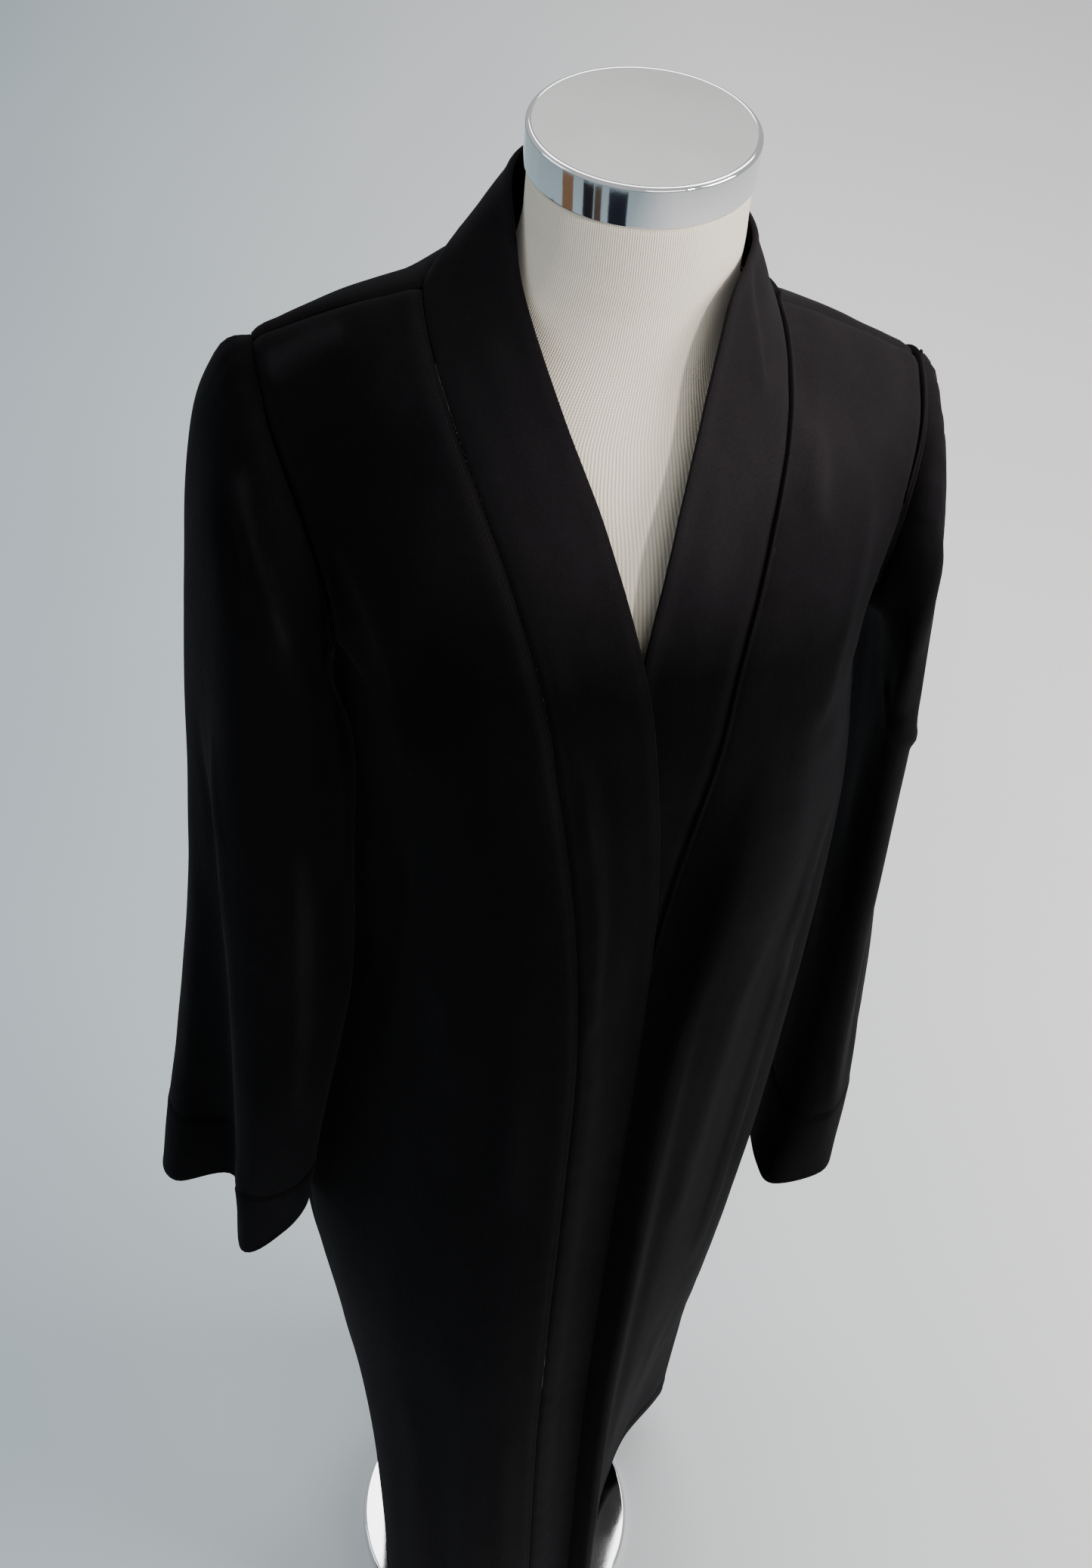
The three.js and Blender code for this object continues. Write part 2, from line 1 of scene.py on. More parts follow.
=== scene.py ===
# A long open-front velvet abaya on a limbless dress form: its looks, built
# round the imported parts. Lengths in the tables are millimetres from the
# stand's own axis; everything that reaches the scene is in metres.
import bpy, bmesh, math
import numpy as np
from mathutils import Matrix, Vector


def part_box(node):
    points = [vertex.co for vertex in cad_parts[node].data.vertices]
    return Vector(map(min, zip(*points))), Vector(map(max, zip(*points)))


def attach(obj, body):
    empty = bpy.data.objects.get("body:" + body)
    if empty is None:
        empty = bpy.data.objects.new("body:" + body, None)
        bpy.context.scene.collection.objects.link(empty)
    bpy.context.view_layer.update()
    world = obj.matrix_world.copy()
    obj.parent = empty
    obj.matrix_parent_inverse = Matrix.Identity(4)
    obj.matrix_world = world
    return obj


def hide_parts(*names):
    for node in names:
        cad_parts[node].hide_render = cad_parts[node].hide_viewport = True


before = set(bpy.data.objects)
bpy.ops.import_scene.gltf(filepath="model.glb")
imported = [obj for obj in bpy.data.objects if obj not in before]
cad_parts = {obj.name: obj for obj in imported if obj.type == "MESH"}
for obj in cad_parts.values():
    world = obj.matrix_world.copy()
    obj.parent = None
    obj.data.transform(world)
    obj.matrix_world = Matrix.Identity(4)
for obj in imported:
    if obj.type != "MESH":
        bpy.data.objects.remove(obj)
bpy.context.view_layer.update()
base_lo, base_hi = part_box("form_base")
SHIFT = np.array([(base_lo.x + base_hi.x) / 2 * 1000, (base_lo.y + base_hi.y) / 2 * 1000, 0.0])
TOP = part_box("form_neck_cap")[1].z * 1000
rng = np.random.default_rng(46)

# ---- the cut of the coat and of the form, rows from the shoulder down ----
FRONT_R = [
  [[-101, 6, 1496], [-128, 8, 1488], [-158, 10, 1478], [-184, 12, 1466]],
  [[-101, -35, 1484], [-130, -32, 1474], [-158, -28, 1460], [-180, -25, 1444]],
  [[-92, -82, 1460], [-122, -75, 1440], [-148, -64, 1418], [-166, -55, 1402]],
  [[-71, -110, 1400], [-108, -104, 1385], [-138, -86, 1370], [-156, -62, 1358]],
  [[-56, -132, 1345], [-96, -124, 1338], [-130, -98, 1330], [-152, -45, 1315]],
  [[-46, -143, 1290], [-88, -136, 1290], [-127, -102, 1290], [-152, 5, 1290]],
  [[-30, -150, 1180], [-72, -143, 1180], [-118, -105, 1180], [-147, 5, 1180]],
  [[-19, -151, 1050], [-62, -142, 1050], [-113, -105, 1050], [-144, 2, 1050]],
  [[-16, -151, 900], [-60, -140, 900], [-119, -100, 900], [-156, 0, 900]],
  [[-14, -150, 700], [-61, -140, 700], [-128, -95, 700], [-176, 0, 700]],
  [[-11, -150, 500], [-61, -140, 500], [-125, -90, 500], [-154, 0, 500]],
  [[-4, -149, 300], [-56, -142, 300], [-122, -90, 300], [-128, 0, 300]],
  [[5, -148, 80], [-50, -145, 80], [-117, -95, 80], [-111, 0, 80]],
]
BACK = [
  [[-184, 12, 1466], [-144, 10, 1483], [-101, 6, 1496], [-72, 48, 1497], [-9, 70, 1488], [56, 46, 1482], [79, 5, 1481], [126, 10, 1457], [165, 12, 1435]],
  [[-182, 45, 1440], [-146, 52, 1458], [-105, 56, 1470], [-65, 76, 1470], [-9, 86, 1465], [48, 76, 1458], [84, 56, 1453], [127, 52, 1434], [163, 45, 1410]],
  [[-172, 72, 1398], [-143, 82, 1405], [-104, 94, 1410], [-58, 102, 1412], [-9, 105, 1412], [42, 102, 1406], [86, 94, 1400], [124, 82, 1390], [156, 72, 1375]],
  [[-162, 66, 1340], [-138, 84, 1345], [-100, 100, 1350], [-55, 108, 1352], [-9, 110, 1352], [38, 108, 1350], [82, 100, 1346], [120, 84, 1340], [147, 66, 1335]],
  [[-155, 42, 1308], [-138, 76, 1312], [-96, 99, 1316], [-53, 108, 1318], [-9, 110, 1318], [35, 108, 1318], [78, 99, 1314], [118, 76, 1310], [146, 42, 1306]],
  [[-152, 5, 1290], [-139, 63, 1290], [-93, 97, 1290], [-51, 107, 1290], [-9, 109, 1290], [33, 107, 1290], [75, 97, 1290], [122, 63, 1290], [150, 5, 1290]],
  [[-147, 5, 1180], [-132, 62, 1180], [-90, 90, 1180], [-49, 101, 1180], [-9, 104, 1180], [32, 101, 1180], [74, 90, 1180], [128, 62, 1180], [160, 0, 1180]],
  [[-144, 2, 1050], [-130, 60, 1050], [-88, 88, 1050], [-47, 98, 1050], [-6, 101, 1050], [34, 98, 1050], [74, 88, 1050], [130, 60, 1050], [163, 0, 1050]],
  [[-156, 0, 900], [-146, 66, 900], [-98, 102, 900], [-51, 115, 900], [-3, 120, 900], [43, 115, 900], [85, 102, 900], [136, 66, 900], [166, 0, 900]],
  [[-176, 0, 700], [-161, 76, 700], [-108, 118, 700], [-55, 134, 700], [0, 142, 700], [50, 135, 700], [96, 120, 700], [146, 78, 700], [170, 5, 700]],
  [[-154, 0, 500], [-143, 76, 500], [-98, 124, 500], [-48, 142, 500], [5, 150, 500], [55, 146, 500], [104, 134, 500], [154, 92, 500], [174, 25, 500]],
  [[-128, 0, 300], [-123, 72, 300], [-86, 124, 300], [-36, 148, 300], [15, 158, 300], [66, 160, 300], [118, 152, 300], [168, 116, 300], [183, 58, 300]],
  [[-111, 0, 80], [-109, 72, 80], [-76, 126, 80], [-26, 152, 80], [28, 166, 80], [80, 174, 80], [132, 166, 80], [178, 134, 80], [188, 76, 80]],
]
FRONT_L = [
  [[165, 12, 1435], [148, 11, 1445], [130, 10, 1455], [112, 8, 1464], [95, 6, 1473], [79, 5, 1481]],
  [[161, -24, 1416], [147, -27, 1430], [130, -30, 1442], [112, -32, 1452], [95, -33, 1461], [78, -33, 1470]],
  [[148, -53, 1384], [137, -60, 1398], [121, -66, 1411], [104, -71, 1424], [87, -74, 1437], [70, -75, 1449]],
  [[139, -62, 1348], [128, -80, 1358], [110, -94, 1368], [93, -102, 1377], [75, -106, 1386], [58, -107, 1394]],
  [[142, -42, 1312], [124, -88, 1320], [102, -111, 1327], [84, -121, 1333], [65, -125, 1338], [47, -126.5, 1341]],
  [[150, 5, 1290], [127, -84, 1290], [98, -120, 1290], [76, -132, 1290], [58, -135, 1290], [41, -135, 1290]],
  [[160, 0, 1180], [147, -66, 1180], [106, -120, 1180], [66, -141, 1180], [46, -133, 1180], [31, -128, 1180]],
  [[163, 0, 1050], [152, -62, 1050], [100, -116, 1050], [56, -138, 1050], [38, -124, 1050], [25, -122, 1050]],
  [[166, 0, 900], [150, -62, 900], [95, -112, 900], [51, -137, 900], [36, -122.5, 900], [26, -121, 900]],
  [[170, 5, 700], [145, -56, 700], [92, -105, 700], [49, -135, 700], [37, -121, 700], [27, -120, 700]],
  [[174, 25, 500], [140, -38, 500], [88, -92, 500], [49, -134, 500], [39, -120, 500], [30, -119, 500]],
  [[183, 58, 300], [135, -5, 300], [86, -72, 300], [55, -134, 300], [45, -119, 300], [36, -119, 300]],
  [[188, 76, 80], [131, 20, 80], [91, -50, 80], [64, -132, 80], [53, -118, 80], [44, -118, 80]],
]
EDGE_R = [
  [-59, -6, 1528], [-56.5, -28, 1507], [-46, -80, 1479], [-23, -99, 1419], [-5, -130.5, 1357],
  [7, -138, 1290], [20, -135, 1180], [27, -126, 1050], [29, -124, 900], [30, -123, 700],
  [33, -122, 500], [39, -122, 300], [47, -121, 80],
]
EDGE_L = [
  [57, -14, 1527], [36, -56, 1519], [19, -89, 1467], [6, -113, 1411], [-4, -126, 1350],
  [-10, -135, 1290], [-18, -141, 1180], [-15, -144, 1050], [-13, -144, 900], [-11, -143.5, 700],
  [-8, -143, 500], [-1, -142.5, 300], [8, -141.5, 80],
]
NECK_R = [[-6, 60, 1541], [-31, 53.5, 1546], [-52, 33, 1549], [-59.5, 12, 1544]]
NECK_L = [[-6, 60, 1541], [20, 57, 1539], [43, 41, 1533], [56, 16, 1530]]
SLEEVE_R = [
  [[-162, 5, 1274], [-157.5, -54, 1298], [-173, -72, 1348], [-182, -66, 1393], [-197, -30, 1431], [-202, 13, 1451], [-199, 50, 1427], [-190, 79, 1387], [-178, 75, 1333], [-170, 50, 1299]],
  [[-157, 5, 1229], [-146, -57, 1246], [-174, -88, 1294], [-199, -82, 1342], [-214, -38, 1378], [-219, 13, 1394], [-217, 52, 1372], [-208, 84, 1328], [-192, 88, 1274], [-174, 58, 1242]],
  [[-153.5, 3, 1140], [-142.5, -54, 1152], [-174, -94, 1182], [-212, -84, 1215], [-224, -44, 1240], [-231, 4, 1258], [-229, 50, 1240], [-212, 86, 1212], [-186, 90, 1178], [-159, 56, 1150]],
  [[-154.5, 2, 1010], [-146, -54, 1016], [-177, -91, 1031], [-216, -78, 1048], [-225, -32, 1064], [-240, -2, 1078], [-239, 42, 1064], [-221, 80, 1048], [-192, 84, 1029], [-162, 52, 1014]],
  [[-170, 3, 860], [-166, -48, 864], [-188, -79, 873], [-221, -73, 882], [-228, -20, 890], [-256, -1, 897], [-258, 36, 889], [-238, 70, 881], [-206, 74, 871], [-179, 46, 862]],
  [[-181, 6, 775], [-175, -38, 777], [-194, -62, 780], [-227, -65, 785], [-230, -5, 789], [-267, 3, 792], [-273, 32, 788], [-251, 62, 783], [-216, 67, 778], [-190, 44, 776]],
  [[-184, 10, 705], [-178, -19, 705], [-198, -45, 705], [-231, -57, 705], [-232, 7, 705], [-276, 9, 705], [-284, 32, 705], [-262, 57, 705], [-225, 62, 705], [-193, 42, 705]],
]
SLEEVE_L = [
  [[164, 5, 1277], [157, -54, 1303], [155, -74, 1339], [162, -67, 1376], [174, -29, 1406], [178, 13, 1421], [177, 50, 1400], [170, 78, 1364], [162, 77, 1325], [162, 50, 1297]],
  [[173, 8, 1230], [169, -44, 1246], [166, -70, 1282], [173, -67, 1322], [183, -30, 1355], [188, 16, 1370], [188, 58, 1352], [183, 88, 1312], [175, 90, 1264], [172, 60, 1238]],
  [[179, 12, 1140], [175, -32, 1146], [181, -55, 1162], [192, -50, 1190], [201, -20, 1218], [207, 22, 1236], [208, 64, 1218], [202, 96, 1190], [191, 100, 1160], [181, 68, 1143]],
  [[181, 16, 1010], [180, -20, 1013], [187, -44, 1024], [203, -42, 1040], [214, -12, 1056], [221, 26, 1068], [223, 70, 1056], [215, 100, 1040], [200, 104, 1022], [184, 72, 1013]],
  [[186, 22, 860], [186, -12, 861], [193, -34, 867], [212, -36, 875], [229, -14, 884], [240, 22, 892], [242, 62, 884], [233, 92, 875], [212, 96, 866], [191, 68, 861]],
  [[187, 22, 760], [186, -12, 761], [194, -34, 764], [217, -37, 768], [238, -18, 771], [250, 16, 775], [253, 54, 771], [242, 86, 768], [216, 90, 764], [192, 64, 761]],
  [[184, 22, 672], [181, -17, 672], [189, -37, 672], [230, -32, 672], [246, -10, 672], [256, 16, 672], [259, 48, 672], [244, 80, 672], [216, 84, 672], [191, 62, 672]],
]
FORM = [
  [1558.5, 0, 53, 53, 53], [1535, 0, 53.5, 53.5, 53.5], [1514, -2, 55, 55, 54], [1498, -4, 60, 59, 56],
  [1484, -7, 68, 65, 59], [1470, -11, 85, 73, 63], [1454, -14, 112, 82, 68], [1440, -14, 132, 88, 73], [1425, -13, 145, 93, 78],
  [1405, -11, 149, 99, 83], [1375, -10, 146, 109, 90], [1335, -9, 139, 118, 95], [1290, -9, 132, 125, 96],
  [1240, -8, 127, 127, 93], [1180, -6, 122, 120, 88], [1110, -4, 112, 106, 82], [1050, -3, 108, 96, 80],
  [980, -2, 122, 97, 86], [900, -1, 138, 102, 98], [820, 0, 146, 104, 110], [740, 0, 149, 102, 110], [700, 0, 147, 100, 106], [676, 0, 143, 96, 102], [672, 0, 139, 93, 98],
]
FRONT_R = [[list(map(float, p)) for p in r] for r in FRONT_R]
FRONT_L = [[list(map(float, p)) for p in r] for r in FRONT_L]
BACK = [[list(map(float, p)) for p in r] for r in BACK]
ARM = 5


def past(a, b):
    return [2 * a[k] - b[k] for k in range(3)]


def lerp3(a, b, t):
    return [a[k] + (b[k] - a[k]) * t for k in range(3)]


def cr(p0, p1, p2, p3, t):
    m1, m2, d = (p2 - p0) / 2, (p3 - p1) / 2, p2 - p1
    return p1 + m1 * t + (3 * d - 2 * m1 - m2) * t ** 2 + (m1 + m2 - 2 * d) * t ** 3


class Net:
    """A smooth surface through a net of points with one more ring round it."""

    def __init__(self, rows):
        self.g = np.array(rows, float)
        self.nr, self.nc = self.g.shape[0] - 2, self.g.shape[1] - 2
        self.corner, self.fork, self.flat_top = (), (), False

    def at(self, u, v):
        u = np.clip(np.asarray(u, float), 0, self.nr - 1)
        v = np.clip(np.asarray(v, float), 0, self.nc - 1)
        u, v = np.broadcast_arrays(u, v)
        if self.flat_top:
            u = np.zeros_like(u)
        r = np.minimum(np.floor(u).astype(int), self.nr - 2)
        c = np.minimum(np.floor(v).astype(int), self.nc - 2)
        tu, tv = (u - r)[..., None], (v - c)[..., None]
        lines = []
        for k in range(4):
            q = [self.g[r + k, c + j] for j in range(4)]
            if self.corner:
                top = (r + k <= 1)
                m = (top & np.isin(c, self.corner))[..., None]
                q[0] = np.where(m, 2 * q[1] - q[2], q[0])
                m = (top & np.isin(c + 1, self.corner))[..., None]
                q[3] = np.where(m, 2 * q[2] - q[1], q[3])
            lines.append(cr(q[0], q[1], q[2], q[3], tv))
        for e in self.fork:
            k = (np.clip(1 - np.abs(v - e), 0, 1) * (r == ARM))[..., None]
            lines[0] = lines[0] + (2 * lines[1] - lines[2] - lines[0]) * k
        return cr(lines[0], lines[1], lines[2], lines[3], tu)


def net(rows, left=None, right=None, above=None):
    g = [[left[i] if left else past(r[0], r[1]), *r, right[i] if right else past(r[-1], r[-2])] for i, r in enumerate(rows)]
    top = [past(above[0], above[1]), *above, past(above[-1], above[-2])] if above else [past(p, q) for p, q in zip(g[0], g[1])]
    return Net([top, *g, [past(p, q) for p, q in zip(g[-1], g[-2])]])


def at_x(row, x):
    for a, b in zip(row[:-1], row[1:]):
        if (a[0] - x) * (b[0] - x) <= 0:
            return lerp3(a, b, (x - a[0]) / ((b[0] - a[0]) or 1))
    return row[0] if abs(row[0][0] - x) < abs(row[-1][0] - x) else row[-1]


def column(rows, c):
    return [r[c] for r in rows]


def below(rows, own, other):
    return [other[i] if i >= ARM else past(own[i], rows[i]) for i in range(len(rows))]


def mid(a, b, k):
    m = lerp3(a, b, 0.5)
    l = math.hypot(m[0], m[1]) or 1
    return [m[0] + m[0] / l * k, m[1] + m[1] / l * k, m[2]]


BULGE = [2, 2, 1.5, 0.8, 0.5, 1, 2, 2, 1, 0, 0, 0, 0, 0, 0, 0, 0]
back_top = Net([[past(BACK[0][0], BACK[0][1]), *BACK[0], past(BACK[0][8], BACK[0][7])]] * 4)
back_top.corner, back_top.flat_top = (2, 6), True
top_at = lambda c: [float(x) for x in back_top.at(0.0, c)]
FRONT_R[0] = [top_at(c) for c in (2, 4 / 3, 2 / 3, 0)]
FRONT_L[0] = [top_at(c) for c in (8, 7.6, 7.2, 6.8, 6.4, 6)]


def neck_seam(c):
    p = top_at(c)
    return [p[0], p[1], p[2] + 1.5]


def band_net(front, seam_col, inner_col, edge, neck, cols):
    rows = []
    for i, e in enumerate(neck):
        s = neck_seam(cols[i])
        rows.append([s, mid(s, e, BULGE[i]), e])
    for i, r in enumerate(front):
        rows.append([r[seam_col], mid(r[seam_col], edge[i], BULGE[4 + i]), edge[i]])
    side = [past(rows[i][0], rows[i][1]) for i in range(len(neck))] + [r[inner_col] for r in front]
    return net(rows, side)


band_r = band_net(FRONT_R, 0, 1, EDGE_R, NECK_R, [4, 3.5, 3, 2.5])
band_l = band_net(FRONT_L, 5, 4, EDGE_L, NECK_L, [4, 4.5, 5, 5.5])


def ghost_top(row0, other1):
    return [[p[0], at_x(other1, p[0])[1], at_x(other1, p[0])[2]] for p in row0]


top_r = ghost_top(FRONT_R[0], BACK[1]); top_r[0] = top_at(2.5)
top_l = ghost_top(FRONT_L[0], BACK[1]); top_l[5] = top_at(5.5)
front_r = net(FRONT_R, [mid(r[0], EDGE_R[i], BULGE[4 + i]) for i, r in enumerate(FRONT_R)],
              below(column(FRONT_R, 2), column(FRONT_R, 3), column(BACK, 1)), top_r)
front_l = net(FRONT_L, below(column(FRONT_L, 1), column(FRONT_L, 0), column(BACK, 7)),
              [mid(r[5], EDGE_L[i], BULGE[4 + i]) for i, r in enumerate(FRONT_L)], top_l)
front_r.fork, front_l.fork = (3,), (0,)
back_above = []
for i, p in enumerate(BACK[0]):
    if 3 <= i <= 5:
        back_above.append(past(p, BACK[1][i]))
    else:
        q = at_x(FRONT_R[1] if i < 4 else FRONT_L[1], p[0])
        back_above.append([p[0], q[1], q[2]])
back = net(BACK, below(column(BACK, 1), column(BACK, 0), column(FRONT_R, 2)),
           below(column(BACK, 7), column(BACK, 8), column(FRONT_L, 1)), back_above)
back.fork, back.corner = (0, 8), (2, 6)


class Sleeve:
    """A closed tube through rings, whose first ring is the armhole."""

    def __init__(self, rings, front_net, front_col, back_net, back_col):
        self.f, self.fc, self.b, self.bc = front_net, front_col, back_net, back_col
        ring0 = [[float(x) for x in self.edge(float(c))] for c in range(10)]
        g = [[r[9], *r, r[0], r[1]] for r in [ring0, *rings]]
        g.insert(0, [past(p, q) for p, q in zip(g[0], g[1])])
        g.append([past(p, q) for p, q in zip(g[-1], g[-2])])
        self.n = Net(g)
        self.nr, self.nc = self.n.nr, 10

    def edge(self, c):
        c = np.asarray(c, float)
        f = self.f.at(np.clip(ARM - c, 0, ARM), np.full_like(c, self.fc))
        b = self.b.at(np.clip(c - ARM, 0, ARM), np.full_like(c, self.bc))
        return np.where((c <= ARM)[..., None], f, b)

    def at(self, u, v):
        u, v = np.broadcast_arrays(np.asarray(u, float), np.mod(np.asarray(v, float), 10))
        p = self.n.at(u, v)
        k = (np.clip(1 - u, 0, 1) ** 2)[..., None]
        return p + (self.edge(v) - self.n.at(np.zeros_like(u), v)) * k


# the front inner line of the right sleeve lies close against the body
SLEEVE_R[0][1] = [-153, -56, 1295]
SLEEVE_R[1][1] = [-142.5, -59, 1246]
sleeve_r = Sleeve(SLEEVE_R, front_r, 3, back, 0)
sleeve_l = Sleeve(SLEEVE_L, front_l, 0, back, 8)


# ---------------------------------------------------------------- meshes
def place(points):
    return (np.asarray(points, float).reshape(-1, 3) + SHIFT) / 1000


def make(name, points, faces, uv=None, smooth=True):
    me = bpy.data.meshes.new(name)
    pts = place(points)
    faces = np.asarray(faces, int) if not isinstance(faces, list) else faces
    if isinstance(faces, list):
        me.from_pydata(pts.tolist(), [], [list(map(int, f)) for f in faces])
    else:
        n = faces.shape[1]
        me.vertices.add(len(pts)); me.vertices.foreach_set("co", pts.astype(np.float32).ravel())
        me.loops.add(faces.size); me.loops.foreach_set("vertex_index", faces.astype(np.int32).ravel())
        me.polygons.add(len(faces)); me.polygons.foreach_set("loop_start", (np.arange(len(faces)) * n).astype(np.int32))
        me.update(calc_edges=True)
    me.validate()
    me.polygons.foreach_set("use_smooth", np.full(len(me.polygons), smooth))
    if uv is not None:
        layer = me.uv_layers.new(name="cut")
        idx = np.zeros(len(me.loops), np.int32); me.loops.foreach_get("vertex_index", idx)
        layer.data.foreach_set("uv", np.asarray(uv, np.float32)[idx].ravel())
    me.update()
    ob = bpy.data.objects.new(name, me)
    bpy.context.scene.collection.objects.link(ob)
    return ob


def unit(a):
    return a / np.maximum(np.linalg.norm(a, axis=-1, keepdims=True), 1e-9)


def normals(P, wrap):
    a = np.gradient(P, axis=0)
    if wrap:
        b = (np.roll(P, -1, 1) - np.roll(P, 1, 1)) / 2
    else:
        b = np.gradient(P, axis=1)
    return unit(np.cross(a, b))


def lines_for(net_, n_u, n_v, size, wrap=False):
    """Parameter lines about `size` mm apart, the same count in each interval."""
    def run(n, probe):
        out = []
        for i in range(n):
            k = max(1, int(math.ceil(probe(i) / size)))
            out += [i + j / k for j in range(k)]
        return out
    uu = np.linspace(0, n_u, 60)
    vv = np.linspace(0, n_v, 40)
    len_u = lambda i: float(np.linalg.norm(net_.at(i + 1.0, vv) - net_.at(float(i), vv), axis=-1).mean())
    len_v = lambda i: float(np.linalg.norm(net_.at(uu, i + 1.0) - net_.at(uu, float(i)), axis=-1).mean())
    us = run(n_u, len_u) + [float(n_u)]
    vs = run(n_v, len_v) + ([] if wrap else [float(n_v)])
    return np.array(us), np.array(vs)


def smooth01(t):
    t = np.clip(t, 0, 1)
    return t * t * (3 - 2 * t)


def crease(P, pts, h, w, sharp=1.6, fade=0.18, side=0.0):
    """Height at each point of P of a fold that runs along pts: h high, w wide.
    side is not used."""
    A = np.asarray(pts, float)
    seg = np.linalg.norm(np.diff(A, axis=0), axis=1)
    run, total = np.concatenate([[0], np.cumsum(seg)]), seg.sum()
    best = np.full(P.shape[:-1], 1e9); t = np.zeros(P.shape[:-1])
    for i in range(len(seg)):
        a, d = A[i], (A[i + 1] - A[i])
        s = np.clip(((P - a) @ d) / (d @ d), 0, 1)
        dist = np.linalg.norm(P - (a + s[..., None] * d), axis=-1)
        m = dist < best
        best = np.where(m, dist, best); t = np.where(m, (run[i] + s * seg[i]) / total, t)
    ends = smooth01(t / fade) * smooth01((1 - t) / fade) if fade > 0 else 1.0
    return h * np.exp(-(best / w) ** sharp) * ends


def waves(P, seed, size, height, stretch=(1, 1, 1)):
    """Soft uneven relief: a few crossing waves of about that size."""
    r = np.random.default_rng(seed)
    out = np.zeros(P.shape[:-1])
    for k in range(7):
        d = r.normal(size=3) * np.array(stretch); d /= max(np.linalg.norm(d), 1e-6)
        d = d * np.array(stretch)
        f = 2 * math.pi / (size * r.uniform(0.7, 1.7))
        out += np.sin(P @ d * f + r.uniform(0, 6.28)) * r.uniform(0.5, 1.0)
    return out * height / 3.0


def arc_u(P):
    d = np.linalg.norm(np.diff(P, axis=0), axis=-1)
    return np.concatenate([np.zeros((1, P.shape[1])), np.cumsum(d, axis=0)])


def arc_v(P):
    d = np.linalg.norm(np.diff(P, axis=1), axis=-1)
    return np.concatenate([np.zeros((P.shape[0], 1)), np.cumsum(d, axis=1)], axis=1)


